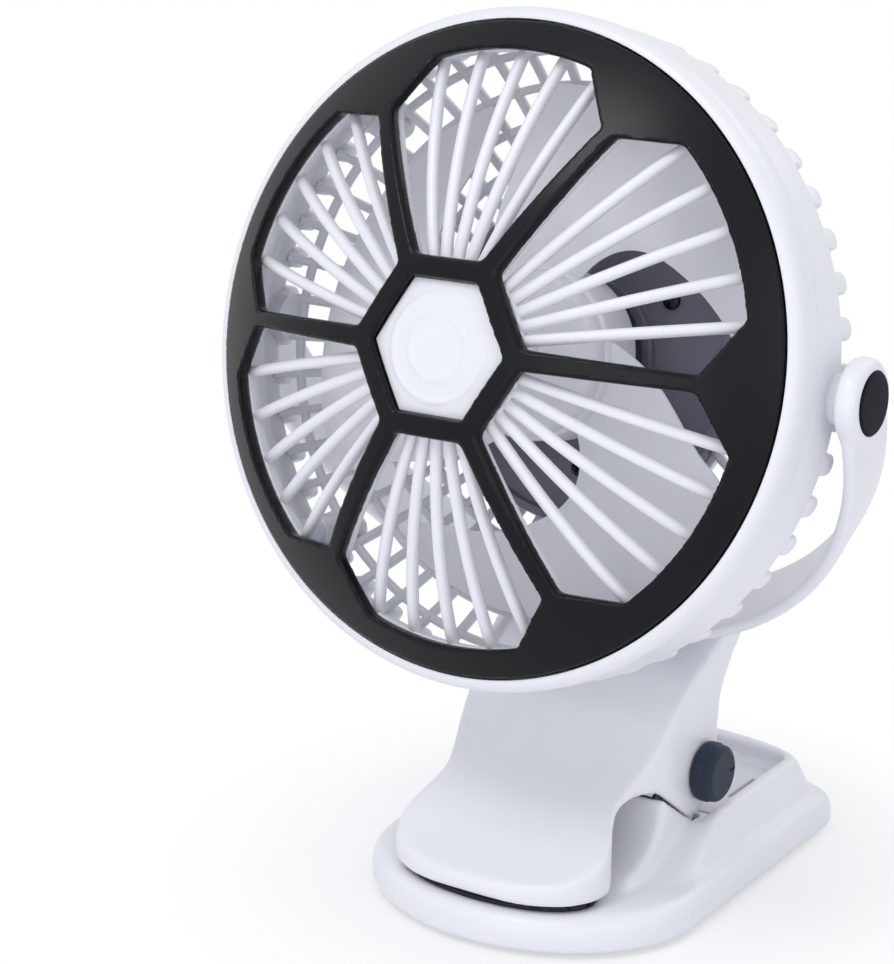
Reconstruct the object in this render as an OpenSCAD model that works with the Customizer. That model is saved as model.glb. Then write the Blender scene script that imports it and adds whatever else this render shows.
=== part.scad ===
// Portable clip-on camping fan: caged head in a leaning yoke on a sprung clip base.
// Millimetres, +Z up. The origin is the centre of the base's resting face.
// The fan blows towards -Y. A "fan frame" has its origin on the tilt axis and +Z along the air flow.

/* [Head] */
// Radius of the head's rim
head_r = 75.8; // [70:0.5:90]
// Axial place of the rim's widest line, ahead of the tilt axis
rim_a = 17; // [15:0.5:20]
// Axial place of the trim's outer edge, ahead of the tilt axis
face_a = 21.3; // [20:0.5:24]
// Axial place of the seam between bezel and rear shell
seam_a = 12; // [9:0.5:13]
// Rise of the front dome from the trim's outer edge to its hexagon
dome_rise = 19.8; // [15:0.5:24]
// Wall of the bezel and the rear shell
shell_wall = 2.4; // [1.8:0.1:3]
// Tilt of the head, face up, as it stands
head_tilt = 12.4; // [0:0.1:20]

/* [Front grille] */
// Angle between neighbouring ribs of a sector
rib_step = 9.2; // [8:0.1:10]
// Width of one rib
rib_w = 2.7; // [2:0.1:3.5]
// Depth of one rib
rib_t = 2.6; // [2:0.1:3.5]
// Radius of the ring that joins the ribs in the middle of the front grille
disc_r = 18.6; // [18:0.2:20]

/* [Trim] */
// Width of the bezel outside the trim
rim_w = 3.3; // [2.8:0.1:5]
// Width of the trim's outer band
trim_band = 6.8; // [5:0.2:8]
// Depth of the trim
trim_t = 3.4; // [2:0.1:4]
// Corner radius of the hexagon's opening, centre to corner
hex_in = 17.1; // [16.5:0.1:19]
// Width of the hexagon's bars
hex_bar = 4.7; // [4:0.1:5.5]
// Width of a strut at the hexagon
strut_w = 4.7; // [4:0.1:7]
// Width of a strut at its gusset
strut_end = 3.8; // [3:0.1:6]
// Distance of the gussets' points from the fan axis
gusset_r = 57; // [50:0.5:59]
// Half width of a gusset where it meets the band
gusset_half = 14.2; // [9:0.2:16]
// Turn of the pattern about the fan axis
trim_turn = 0; // [-15:1:15]

/* [Rear grille] */
// Depth of the rear dome behind the tilt axis
rear_depth = 28; // [24:0.5:32]
// Number of rear ribs, one tooth each
rear_ribs = 48; // [36:4:60]
// Width of a rear rib
rear_rib_w = 2.2; // [1.6:0.1:3]
// Number of rings that cross the rear ribs
rear_rings = 4; // [2:1:6]
// Radius of the rounded teeth at the drum's back edge
tooth_r = 2.5; // [2:0.1:3]
// Radius of the closed disc in the middle of the rear grille
rear_disc_r = 41; // [40.5:0.5:44]

/* [Rotor] */
// Number of blades
blade_count = 3; // [2:1:4]
// Radius of the blade tips
blade_r = 61; // [55:0.5:64]
// Thickness of a blade
blade_t = 1.6; // [1.2:0.1:2.4]
// Pitch of a blade
blade_pitch = 8; // [6:0.5:10]
// Width of a blade
blade_chord = 116; // [114:1:124]
// Radius of the rotor's hub
hub_r = 20; // [18:0.5:24]
// Radius of the motor's can
motor_r = 12; // [10:0.5:14]
// Length of the motor's can
motor_len = 20; // [16:0.5:22]
// Radius of the motor's shaft
shaft_r = 1; // [0.75:0.05:1.5]
// Radius of the dark motor mount
mount_r = 39.5; // [36:0.5:40]
// Radius of the circle of the mount's screws
mount_screw_ring = 26.3; // [24:0.1:30]

/* [Yoke] */
// Height of the tilt axis above the table
pivot_z = 135; // [132:0.5:140]
// Lean of the yoke and its swivel axis from upright
yoke_lean = 28; // [26:0.5:30]
// Clearance between the head's swing and the yoke
yoke_gap = 1.3; // [0.8:0.1:2.5]
// Thickness of the yoke's band
yoke_t = 3.3; // [2.6:0.1:4]
// Width of the yoke's band
yoke_w = 18.6; // [15:0.2:22]
// Radius of the yoke's boss at each pivot
boss_r = 9.6; // [9:0.1:12]
// Radius of the black pivot caps
cap_r = 7; // [6:0.1:7.6]
// Radius of the pivot screws
pivot_screw_r = 1.5; // [1.25:0.05:2]
// Radius of the swivel post
post_r = 3.2; // [2.6:0.1:3.6]

/* [Clip] */
// Half width of the upper jaw at the hinge
jaw_half = 28.5; // [27:0.5:29]
// Half width of the upper jaw at its waist
waist_half = 24.6; // [23:0.2:26]
// Half width of the neck at its top
neck_half = 30.5; // [29:0.5:31]
// Wall of the upper jaw
jaw_wall = 2.5; // [2:0.1:3]
// Height of the tongue's underside above the table
tongue_z = 11.6; // [11:0.1:12.5]
// Thickness of the tongue at its lip
lip_t = 5.4; // [4.5:0.1:6.5]
// Angle that the clip opens
jaw_open = 24; // [15:1:24]
// Radius of the hinge pin
pin_r = 1.5; // [1.2:0.05:2]
// Radius of the speed knob
knob_r = 7.4; // [6.5:0.1:7.6]
// Thickness of the speed knob
knob_t = 5.4; // [4:0.1:7]

/* [Base] */
// Length of the base, front to back
base_len = 120; // [118:0.5:130]
// Width of the base
base_w = 86; // [84:0.5:96]
// Height of the front deck above the table
deck_z = 10; // [9.6:0.1:10.4]
// Height of the rear platform's rim above the table
rim_z = 19; // [18:0.1:20]
// Height of the battery cover's face above the table
floor_z = 14.5; // [14:0.1:15]
// Wall of the base shell
base_wall = 2.4; // [2:0.1:3]
// Radius of the base screws
base_screw_r = 1.2; // [1:0.05:1.5]
// Room between the battery cell and the base's sides
cell_side = 16; // [15:0.5:20]

/* [Clearances] */
// Radial clearance of a shaft or screw in its bore
fit = 0.05; // [0.02:0.01:0.1]
// Gap between pieces that lie side by side
gap = 0.3; // [0.2:0.05:0.4]
// Gap between faces that seat on each other
seat = 0.05; // [0.02:0.01:0.1]

/* [Hidden] */
$fn = 64;
eps = 0.01;

// ---------- frames ----------
base_half = base_w / 2;
pivot_y = -29;
module yoke_frame() translate([0, pivot_y, pivot_z]) rotate([yoke_lean, 0, 0]) children();
module head_frame()
    translate([0, pivot_y, pivot_z]) rotate([-head_tilt, 0, 0]) rotate([90, 0, 0]) children();

// ---------- helpers ----------
// Points on a cubic Bezier curve, without its last point
function bez(a, b, c, d, n = 8) =
    [for (i = [0:n - 1]) let (t = i / n, s = 1 - t)
        s * s * s * a + 3 * s * s * t * b + 3 * s * t * t * c + t * t * t * d];
// Points on an arc from angle a0 to a1
function arc(c, r, a0, a1, n = 12) =
    [for (i = [0:n]) let (t = a0 + (a1 - a0) * i / n) c + r * [cos(t), sin(t)]];
// Points on an ellipse's arc
function earc(c, rx, ry, a0, a1, n = 16) =
    [for (i = [0:n]) let (t = a0 + (a1 - a0) * i / n) c + [rx * cos(t), ry * sin(t)]];
function flip_x(p) = [for (i = [len(p) - 1:-1:0]) [-p[i][0], p[i][1]]];
// A side profile (y, z) made w wide on each side of x = 0
module slab_x(w) rotate([90, 0, 90]) translate([0, 0, -w]) linear_extrude(2 * w) children();
module ring(r_out, r_in, h) difference() {
    cylinder(r = r_out, h = h);
    translate([0, 0, -1]) cylinder(r = r_in, h = h + 2);
}
module both_sides() { children(); mirror([1, 0, 0]) children(); }
module along_x(x) translate([x, 0, 0]) rotate([0, 90, 0]) children();
// A pan-head screw, head at z = 0..head_h, shank down
module screw(r, len, head_r, head_h) {
    cylinder(r = head_r, h = head_h, $fn = 32);
    translate([0, 0, -len]) cylinder(r = r, h = len + eps, $fn = 32);
}

// ---------- head: derived ----------
hex_r = hex_in + hex_bar / cos(30);
hex_a = face_a + dome_rise;
trim_r = head_r - rim_w;
band_in = trim_r - trim_band;
// The front dome is a sphere through the trim's edge and a circle at the hexagon
crown_r = 21.5;
dome_q = trim_r * trim_r - crown_r * crown_r;
dome_sum = dome_q / dome_rise;
dome_u = (dome_sum + dome_rise) / 2;
dome_R = sqrt(dome_u * dome_u + crown_r * crown_r);
dome_c = hex_a - dome_u;
module dome_shell(skin, thick) translate([0, 0, dome_c]) difference() {
    sphere(r = dome_R - skin, $fn = 96);
    sphere(r = dome_R - skin - thick, $fn = 96);
}
// Height of the dome's surface, skin below it, at radius r
function dome_z(r, skin = 0) = dome_c + sqrt(pow(dome_R - skin, 2) - r * r);
groove_skin = trim_t + 2 * seat;
rib_skin = trim_t + gap;
drum_r = head_r - 0.3;
drum_in = drum_r - shell_wall;
// The rear dome is a sphere through the drum's back edge and the rear disc
rear_edge_r = drum_in + 0.6;
rear_q = rear_edge_r * rear_edge_r - rear_disc_r * rear_disc_r;
rear_rise = rear_depth - 2;
rear_sum = rear_q / rear_rise;
rear_u = (rear_sum + rear_rise) / 2;
rear_R = sqrt(rear_u * rear_u + rear_disc_r * rear_disc_r);
rear_c = rear_u - rear_rise;
rear_t = 2.2;
tooth_a = 3.4;
tooth_in = drum_in - 0.8;
tooth_t = drum_r - drum_in + 0.5;
boss_in = drum_in - 4;
pillar_a = -8;
screw_sink = 5;
swing_r = norm([head_r, rim_a]);
yoke_ri = swing_r + yoke_gap;
yoke_ro = yoke_ri + yoke_t;
// The yoke's band sweeps this sphere as it swivels
yoke_sweep = norm([yoke_ro, yoke_w / 2]) + gap;
boss_x = yoke_ri - 0.4;
boss_out = yoke_ro + 1.5;
cap_floor = boss_out - 1.6;
screw_head_x = cap_floor - 2;
bezel_lip = 3;
pillar_h = seam_a - bezel_lip - seat - pillar_a;
bezel_t = 3;
// The four screws that hold the bezel to the rear shell
screw_ring_r = drum_in - 4;
grille_screw_r = 1.2;
module at_grille_screws() for (a = [45:90:315]) rotate(a) translate([screw_ring_r, 0, 0]) children();

module front_grille() color("white") difference() {
    front_cage();
    at_grille_screws() translate([0, 0, seam_a - bezel_lip - 1])
        cylinder(r = grille_screw_r, h = 7, $fn = 24);
}
module rib_bar() translate([disc_r - 2, -rib_w / 2]) square([band_in - disc_r + 4, rib_w]);
module front_cage() {
    // Bezel with its rounded rim, a groove for the trim and a lip into the rear shell
    rotate_extrude() polygon(concat(
        [[head_r, seam_a]],
        [[head_r, rim_a]],
        arc([head_r - 3.2, rim_a + 0.2], 3.2, 8, 82, 6),
        [[trim_r + gap, face_a - 0.6], [trim_r + gap, dome_z(trim_r + gap, groove_skin)],
         [trim_r - trim_band / 2, dome_z(trim_r - trim_band / 2, groove_skin)],
         [band_in, dome_z(band_in, groove_skin)],
         [band_in, dome_z(band_in, groove_skin) - bezel_t],
         [drum_in - gap - shell_wall, seam_a + 1], [drum_in - gap - shell_wall, seam_a - bezel_lip],
         [drum_in - gap, seam_a - bezel_lip], [drum_in - gap, seam_a]]));
    // Domed ribs between the bezel and the disc
    intersection() {
        dome_shell(rib_skin, rib_t);
        linear_extrude(hex_a + 5) for (k = [0:5]) rotate(trim_turn + 60 * k) {
            rib_bar();
            for (i = [-2:2]) rotate(30 + i * rib_step) rib_bar();
        }
    }
    // Bosses that take the screws
    at_grille_screws() translate([0, 0, seam_a - bezel_lip])
        cylinder(r = 3, h = rim_a - seam_a + bezel_lip, $fn = 32);
    // Disc seat behind the hexagon
    intersection() {
        dome_shell(rib_skin, rib_t);
        linear_extrude(hex_a + 5) difference() { circle(r = disc_r + 1); circle(r = disc_r - 5.2); }
    }
}

// One sixth of the trim's openings, between the struts at 0 and 60 degrees
module trim_opening() {
    root_x = (hex_r * cos(30) - strut_w / 4) / cos(30);
    a_g = asin(gusset_half / band_in);
    near = [[root_x, strut_w / 2], [gusset_r, strut_end / 2]];
    far = [for (i = [1, 0]) near[i][0] * [cos(60), sin(60)] + near[i][1] * [sin(60), -cos(60)]];
    polygon(concat(near, arc([0, 0], band_in, a_g, 60 - a_g, 14), far));
}
module grille_trim() color("#23242e") intersection() {
    dome_shell(0, trim_t);
    rotate(trim_turn) linear_extrude(hex_a + 5) difference() {
        circle(r = trim_r, $fn = 128);
        circle(r = hex_in, $fn = 6);
        for (i = [0:5]) rotate(60 * i) trim_opening();
    }
}
module front_disc() color("white") intersection() {
    translate([0, 0, dome_c]) difference() {
        sphere(r = dome_R - rib_skin + 1.6, $fn = 96);
        sphere(r = dome_R - rib_skin + seat, $fn = 96);
    }
    rotate(trim_turn) linear_extrude(hex_a + 5) circle(r = hex_in - gap, $fn = 6);
}

module rear_pattern() {
    for (i = [0:rear_ribs - 1]) rotate((i + 0.5) * 360 / rear_ribs)
        translate([rear_disc_r - 1, -rear_rib_w / 2]) square([drum_in - rear_disc_r + 1.4, rear_rib_w]);
    for (k = [1:rear_rings]) {
        r = rear_disc_r + (drum_in - rear_disc_r) * k / (rear_rings + 0.6);
        difference() { circle(r = r + 0.9); circle(r = r - 0.9); }
    }
}
module rear_shell() color("white") difference() {
    union() {
        // Drum wall
        ring(drum_r, drum_in, seam_a - seat);
        // Domed ribs and rings
        intersection() {
            translate([0, 0, rear_c]) difference() {
                sphere(r = rear_R, $fn = 96);
                sphere(r = rear_R - rear_t, $fn = 96);
            }
            translate([0, 0, -rear_depth - 2]) linear_extrude(rear_depth + 3) rear_pattern();
        }
        // Closed middle disc
        translate([0, 0, -rear_depth]) cylinder(r = rear_disc_r, h = rear_t + 0.4);
        // Rounded teeth along the back edge
        for (i = [0:rear_ribs - 1]) rotate((i + 0.5) * 360 / rear_ribs) {
            translate([0, 0, -tooth_a]) along_x(tooth_in) cylinder(r = tooth_r, h = tooth_t, $fn = 24);
            translate([tooth_in, -tooth_r, -tooth_a]) cube([tooth_t, 2 * tooth_r, tooth_a + 0.5]);
        }
        // Pivot bosses
        both_sides() along_x(boss_in) cylinder(r = 5.6, h = boss_x - 0.6 - boss_in);
        // Pillars for the bezel's screws
        at_grille_screws() translate([0, 0, pillar_a]) cylinder(r = 3.4, h = pillar_h, $fn = 32);
    }
    both_sides() along_x(drum_in - 5) cylinder(r = pivot_screw_r + fit, h = 20, $fn = 32);
    at_grille_screws() {
        translate([0, 0, pillar_a - 4]) cylinder(r = grille_screw_r + fit, h = 30, $fn = 24);
        translate([0, 0, pillar_a - 4]) cylinder(r = 2.3, h = 4 + screw_sink, $fn = 24);
    }
    at_mount_screws() translate([0, 0, -rear_depth - 1]) cylinder(r = 1.25, h = 5, $fn = 24);
}

module at_mount_screws() for (a = [36:120:276]) rotate(a) translate([mount_screw_ring, 0, 0]) children();
mount_a = -rear_depth + rear_t + 0.4 + seat;
mount_h = 3;
motor_a = mount_a + mount_h + seat;
module motor_mount() color("#3a3c46") difference() {
    union() {
        translate([0, 0, mount_a]) cylinder(r = mount_r, h = mount_h);
        translate([0, 0, mount_a + mount_h - eps]) ring(mount_r, mount_r - 2, 2.2);
        translate([0, 0, mount_a + mount_h - eps]) ring(motor_r + 2.4, motor_r + seat, 4);
        translate([0, 0, mount_a + mount_h - eps]) ring(motor_r + 7, motor_r + 4.4, 2.4);
    }
    at_mount_screws() translate([0, 0, mount_a - 1]) cylinder(r = 1.25, h = 6, $fn = 24);
    for (a = [0, 180]) rotate(a) translate([8, 0, mount_a - 1]) {
        cylinder(r = 1.05, h = 6, $fn = 24);
        cylinder(r = 2.1, h = 2.2, $fn = 24);
    }
}
module motor_can() color("silver") difference() {
    union() {
        translate([0, 0, motor_a]) cylinder(r = motor_r, h = motor_len);
        translate([0, 0, motor_a + motor_len - eps]) cylinder(r = 3, h = 1.2, $fn = 32);
    }
    translate([0, 0, motor_a + 2]) cylinder(r = shaft_r + fit, h = motor_len + 5, $fn = 32);
    for (a = [0, 180]) rotate(a) translate([8, 0, motor_a - 1]) cylinder(r = 1 + fit, h = 3.5, $fn = 24);
}
module motor_screws() color("dimgray") for (a = [0, 180]) rotate(a) translate([8, 0, mount_a + 1.15])
    mirror([0, 0, 1]) screw(1, mount_h + 0.2, 1.9, 1.05);
module mount_screws() color("dimgray") at_mount_screws()
    translate([0, 0, mount_a + mount_h + seat]) screw(1.2, mount_h + rear_t, 2.3, 1.4);
module grille_screws() color("dimgray") at_grille_screws() translate([0, 0, pillar_a + screw_sink - seat])
    mirror([0, 0, 1]) screw(grille_screw_r - eps, seam_a - bezel_lip + 4.5 - pillar_a - screw_sink, 2.2, 1.3);
shaft_top = motor_a + motor_len + 13;
module motor_shaft() color("silver")
    translate([0, 0, motor_a + 2.2]) cylinder(r = shaft_r, h = shaft_top - motor_a - 2.2, $fn = 32);

// Cambered, pitched plate, cut to the blade's outline and to the room between the grilles
hub_wall = 1.6;
hub_rear = motor_a + 11;
hub_front = motor_a + motor_len + 4;
blade_in = hub_r - 1;
blade_turn = 61;
blade_a = -2.5;
blade_room = 1.5;
camber = 1.5;
module blade_plate() along_x(0) rotate([0, 0, blade_pitch])
    linear_extrude(blade_r + 2) polygon(concat(
        [for (i = [-8:8]) [camber * (1 - pow(i / 8, 2)), i * blade_chord / 16]],
        [for (i = [8:-1:-8]) [camber * (1 - pow(i / 8, 2)) - blade_t, i * blade_chord / 16]]));
// The outline of a wide sickle blade, drawn from a hub of 20 mm to a tip of 61 mm
drawn_hub = 20;
drawn_tip = 61;
function from_hub(p) = p * (hub_r + (norm(p) - drawn_hub) * (blade_r - hub_r) / (drawn_tip - drawn_hub)) / norm(p);
module blade_outline() polygon([for (p = concat(
    bez([16, 2], [24, 2], [33.5, -1], [34.4, -12]),
    bez([34.4, -12], [35, -24], [31.5, -33], [27.5, -39.5]),
    bez([27.5, -39.5], [24.5, -44.5], [21.5, -50], [20.8, -54]),
    bez([20.8, -54], [20.8, -57], [24, -56.3], [28.6, -53.9]),
    arc([0, 0], drawn_tip, -60, 29, 20),
    bez([52.8, 30.5], [50, 34.5], [45, 33.5], [38.3, 30.4]),
    bez([38.3, 30.4], [31, 28.6], [20, 28.2], [12, 23.5]),
    bez([12, 23.5], [8, 21], [5, 19], [2.5, 16]))) from_hub(p)]);
// Height of the rear cage's inner side at radius r, with the blades' room added
function rear_in(r) = rear_c - sqrt(pow(rear_R - rear_t, 2) - r * r) + blade_room;
module blade_space() rotate_extrude($fn = 96) polygon([[blade_in, hub_rear + 0.5], [hub_r + 9, rear_in(50)],
    [50, rear_in(50)], [56, rear_in(56)], [blade_r + 2, rear_in(blade_r + 2)],
    [blade_r + 2, 13], [50, 15], [34, 8.5], [hub_r + 3, hub_front + 0.6], [blade_in, hub_front - 0.4]]);
module impeller() color("#e9e9f1") difference() {
    union() {
        // Cup-shaped hub over the motor
        translate([0, 0, hub_rear]) ring(hub_r, hub_r - hub_wall, hub_front - 1.5 - hub_rear);
        translate([0, 0, hub_front - 2]) cylinder(r = hub_r, h = 2);
        translate([0, 0, hub_front - 2 + eps]) cylinder(r = 4, h = 8);
        for (i = [0:blade_count - 1]) rotate(i * 360 / blade_count + blade_turn) intersection() {
            translate([0, 0, blade_a]) blade_plate();
            translate([0, 0, -30]) linear_extrude(60) blade_outline();
            blade_space();
        }
    }
    translate([0, 0, motor_a]) cylinder(r = shaft_r, h = motor_len + 20, $fn = 32);
}
module hub_cap() color("#d9dbe4") difference() {
    translate([0, 0, motor_a + motor_len + 4 + seat]) rotate_extrude() polygon(concat(
        [[4 + seat, 0], [hub_r - 1, 0]], arc([hub_r - 4, 1], 3, 0, 90, 6), [[4 + seat, 4]]));
    translate([0, 0, -30]) cylinder(r = 4 + seat, h = 10);
}

// ---------- yoke ----------
module yoke_x(x) translate([x, 0, 0]) rotate([0, 90, 0]) children();
module pivot_screws() color("dimgray") both_sides()
    yoke_x(screw_head_x + seat) screw(pivot_screw_r, screw_head_x - drum_in + 3, 2.9, 1.8);
module pivot_washers() color("#8c8f9c") both_sides()
    yoke_x(boss_x - 0.6 + seat) ring(5.4, pivot_screw_r + fit, 0.5);
flat_z = yoke_ro + 1.4;
module yoke() color("white") difference() {
    union() {
        rotate([90, 0, 0]) rotate([0, 0, 180]) rotate_extrude(angle = 180, $fn = 128)
            translate([yoke_ri, -yoke_w / 2]) square([yoke_t, yoke_w]);
        both_sides() yoke_x(boss_x) cylinder(r = boss_r, h = boss_out - boss_x);
        translate([0, 0, -flat_z]) cylinder(r = 12, h = 4);
    }
    both_sides() {
        yoke_x(boss_x - 1) cylinder(r = pivot_screw_r + fit, h = 10, $fn = 32);
        yoke_x(screw_head_x) cylinder(r = 3.3, h = 5, $fn = 32);
        yoke_x(cap_floor) cylinder(r = cap_r + seat, h = 5);
    }
    // Room for the head to turn
    sphere(r = yoke_ri - 0.4, $fn = 96);
    translate([0, 0, -flat_z - 1]) cylinder(r = post_r, h = 20, $fn = 48);
    translate([0, 0, -yoke_ri - 1]) cylinder(r = post_r + 3, h = 20, $fn = 48);
}
module pivot_caps() color("#23242e") both_sides() yoke_x(cap_floor + seat) {
    cylinder(r = cap_r, h = 1.4);
    translate([0, 0, 1.4 - eps]) cylinder(r1 = cap_r, r2 = cap_r - 0.6, h = 0.5);
}
washer_t = 0.8;
neck_plate = flat_z + washer_t + 2 * seat;
plate_t = 2.4;
clip_t = 0.8;
clip_r = 5;
post_end = neck_plate + plate_t + clip_t + 1;
module swivel_post() color("silver") difference() {
    union() {
        translate([0, 0, -post_end]) cylinder(r = post_r - eps, h = post_end - yoke_ri - 0.8, $fn = 48);
        translate([0, 0, -yoke_ri - 1 + seat]) cylinder(r = post_r + 2.8, h = 1, $fn = 48);
    }
    translate([0, 0, -post_end - 1]) cylinder(r = post_r - 1.2, h = 30, $fn = 32);
}
module swivel_washer() color("#8c8f9c")
    translate([0, 0, -flat_z - washer_t - seat]) ring(11.5, post_r + fit, washer_t);
module swivel_clip() color("dimgray") translate([0, 0, -neck_plate - plate_t - seat - clip_t])
    ring(clip_r, post_r, clip_t);

// ---------- clip ----------
hinge = [2, 17.5];
module at_hinge(x) translate([x, hinge[0], hinge[1]]) rotate([0, 90, 0]) children();
module at_knob(x) translate([x, knob_at[0], knob_at[1]]) rotate([0, 90, 0]) children();
// Place of a point of the upper jaw's side profile when the clip is open by angle a
function opened(p, a) = let (d = p - hinge)
    hinge + [d[0] * cos(a) + d[1] * sin(a), d[1] * cos(a) - d[0] * sin(a)];
lug_r = 4.8;
lug_in = jaw_half - 6.7;
lug_out = jaw_half - 2.8;
ear_in = lug_in - 4;
ear_out = lug_in - gap;
notch_up = [-21.8, 16.2];
notch_up_r = 13.4;
notch_low = [-29.6, 28.2];
notch_low_r = 15.6;
apex = [-16, 28.5];
seam_end = [-1, 17];
knob_at = [4, 28.4];
pot_r = 5;
pot_x = 16;
bush_r = 3.5;
dial_r = 2;
neck_top = [24.5, 66];
back_y = 12.6;
// The lip of the tongue reaches a little past the front of the base
tip_y = -base_len / 2 + 2.6;
front_curve = concat(
    bez([tip_y + 2.4, tongue_z + lip_t], [tip_y + 9.4, tongue_z + lip_t + 1.2], [-41, 21.3], [-35, 26]),
    bez([-35, 26], [-29.5, 30], [-20, 36], [-14, 43]),
    bez([-14, 43], [-8.5, 50], [-4, 54.5], [0, 60]), [[0, 60], [2, 66]]);
back_curve = concat([[25, 72]], bez(neck_top, [21, 60.5], [13, 54], [back_y, 45]),
    [[back_y, 45], [back_y, 25.5]]);
module jaw_profile() polygon(concat(
    [[tip_y + 1.4, tongue_z], [tip_y, tongue_z + 1.4], [tip_y, tongue_z + lip_t - 1.6]],
    front_curve, back_curve,
    [[6, seam_end[1] + 0.1], seam_end + [0.3, 0.35], apex + [0.22, 0.3]],
    arc(notch_up, notch_up_r, 68, 176, 14),
    [notch_up + [-notch_up_r + 0.5, -2.6], [-36.4, tongue_z]]));
plan_right = concat([[0, tip_y]],
    bez([1, tip_y], [16, tip_y], [27, tip_y + 4.9], [jaw_half - 0.2, -42], 10),
    bez([jaw_half - 0.2, -42], [jaw_half + 0.3, -37], [waist_half, -35], [waist_half, -29], 8),
    bez([waist_half, -29], [waist_half, -24], [jaw_half - 0.6, -20], [jaw_half, -13], 8),
    [[jaw_half, -13], [neck_half, -4], [neck_half, 26]]);
module jaw_plan() polygon(concat(plan_right, flip_x(plan_right)));
front_right = concat([[jaw_half, 0], [jaw_half, 38]],
    bez([jaw_half, 38], [jaw_half, 46], [neck_half, 52], [neck_half, 60]),
    [[neck_half, 60], [neck_half, 90]]);
module jaw_front() polygon(concat(front_right, flip_x(front_right)));
module jaw_solid() intersection() {
    slab_x(neck_half + 1) jaw_profile();
    linear_extrude(90) jaw_plan();
    rotate([90, 0, 0]) translate([0, 0, -60]) linear_extrude(140) jaw_front();
}
skin = jaw_wall * [0.72, -0.72];
web_t = 2.4;
module jaw_cavity_profile() polygon(concat(
    [[60, 5], [-1.2, 5], [apex[0] + 1.6, apex[1] - 1]],
    arc(notch_up, notch_up_r + web_t, 54, 96, 6),
    [for (p = bez([-35, 26], [-29.5, 30], [-20, 36], [-14, 43], 12)) if (p[0] > -24.5) p + skin],
    [for (p = bez([-14, 43], [-8.5, 50], [-4, 54.5], [0, 60])) p + skin],
    [[12, 80], [60, 80]]));
cavity_half = jaw_half - jaw_wall;
post_at = [21, 42];
module below_plate() yoke_frame() translate([-80, -80, -300]) cube([160, 160, 300 - neck_plate - plate_t]);
// The back cover's profile, inside the jaw's side walls
cover_t = 1.8;
module cover_profile() polygon(concat(back_curve, [[back_y - cover_t, 25.5]],
    [for (i = [len(back_curve) - 2:-1:0]) back_curve[i] - [cover_t, 0]]));
module upper_jaw() color("white") difference() {
    union() {
        difference() {
            jaw_solid();
            intersection() {
                slab_x(cavity_half) jaw_cavity_profile();
                below_plate();
            }
        }
        // Hinge lugs, joined to the side walls above the seam
        both_sides() {
            at_hinge(lug_in) cylinder(r = lug_r, h = lug_out - lug_in, $fn = 48);
            translate([lug_out - 1, hinge[0] - 2, hinge[1] + 1.2]) cube([cavity_half - lug_out + 1.2, 5, 3]);
        }
        // Posts for the back cover's screws
        both_sides() translate([post_at[0], back_y - cover_t - seat, post_at[1]]) rotate([90, 0, 0])
            cylinder(r = 3, h = back_y - cover_t + 13.4, $fn = 32);
    }
    both_sides() {
        at_hinge(lug_in - 1) cylinder(r = pin_r + fit, h = lug_out - lug_in + 1.4, $fn = 48);
        translate([post_at[0], back_y, post_at[1]]) rotate([90, 0, 0])
            cylinder(r = 1 + fit, h = 14, $fn = 24);
    }
    // Turning room of the yoke, and the swivel's seat and bore
    yoke_frame() {
        sphere(r = yoke_sweep, $fn = 128);
        translate([-80, -80, -neck_plate + 1.6]) cube([160, 160, 60]);
        translate([0, 0, -neck_plate]) cylinder(r = 12.5, h = 20);
        translate([0, 0, -neck_plate - 12]) cylinder(r = post_r + fit, h = 20, $fn = 48);
    }
    // Bushing hole of the speed control
    at_knob(cavity_half - 1) cylinder(r = bush_r + fit, h = 10, $fn = 48);
    // Pocket for the grip pad
    translate([0, 0, tongue_z - 1]) linear_extrude(2) pad_outline(-seat);
}
function pad_pts(i) = let (a = jaw_half - 3 - i, f = tip_y + 2.8 + i, b = -38.4 - i)
    concat([[a - 1, b], [-a + 1, b]], earc([0, -42], a, -f - 42, 180, 360, 18));
module pad_outline(i) polygon(pad_pts(i));
module upper_grip_pad() color("#23242e")
    translate([0, 0, tongue_z - 0.7]) linear_extrude(1.7 - seat) pad_outline(0);
module neck_cover() color("white") difference() {
    intersection() {
        slab_x(cavity_half - seat) cover_profile();
        below_plate();
        translate([0, 0, -seat]) cube([200, 200, 400], center = true);
    }
    both_sides() translate([post_at[0], back_y + 1, post_at[1]]) rotate([90, 0, 0]) {
        cylinder(r = 1 + fit, h = 8, $fn = 24);
        cylinder(r = 2.2, h = 2.2, $fn = 24);
    }
}
module cover_screws() color("dimgray") both_sides()
    translate([post_at[0], back_y - 1.2 + seat, post_at[1]]) rotate([-90, 0, 0]) screw(1, 9, 1.9, 1);
module speed_control() color("#3a3c46") difference() {
    union() {
        at_knob(pot_x) cylinder(r = pot_r, h = cavity_half - pot_x - seat, $fn = 48);
        at_knob(cavity_half - 1) cylinder(r = bush_r, h = jaw_wall + 1 - seat, $fn = 48);
    }
    at_knob(pot_x + 4) cylinder(r = dial_r + fit, h = 20, $fn = 48);
}
module control_board() color("seagreen")
    translate([pot_x - 1.7, knob_at[0] - 6, knob_at[1] - 6]) cube([1.7 - seat, 12, 22]);
knob_x = jaw_half + 0.5;
dial_x = pot_x + 4.2;
module control_shaft() color("silver")
    at_knob(dial_x) cylinder(r = dial_r, h = knob_x + knob_t - 1.6 - dial_x, $fn = 48);
knob_waist = 0.35;
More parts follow.
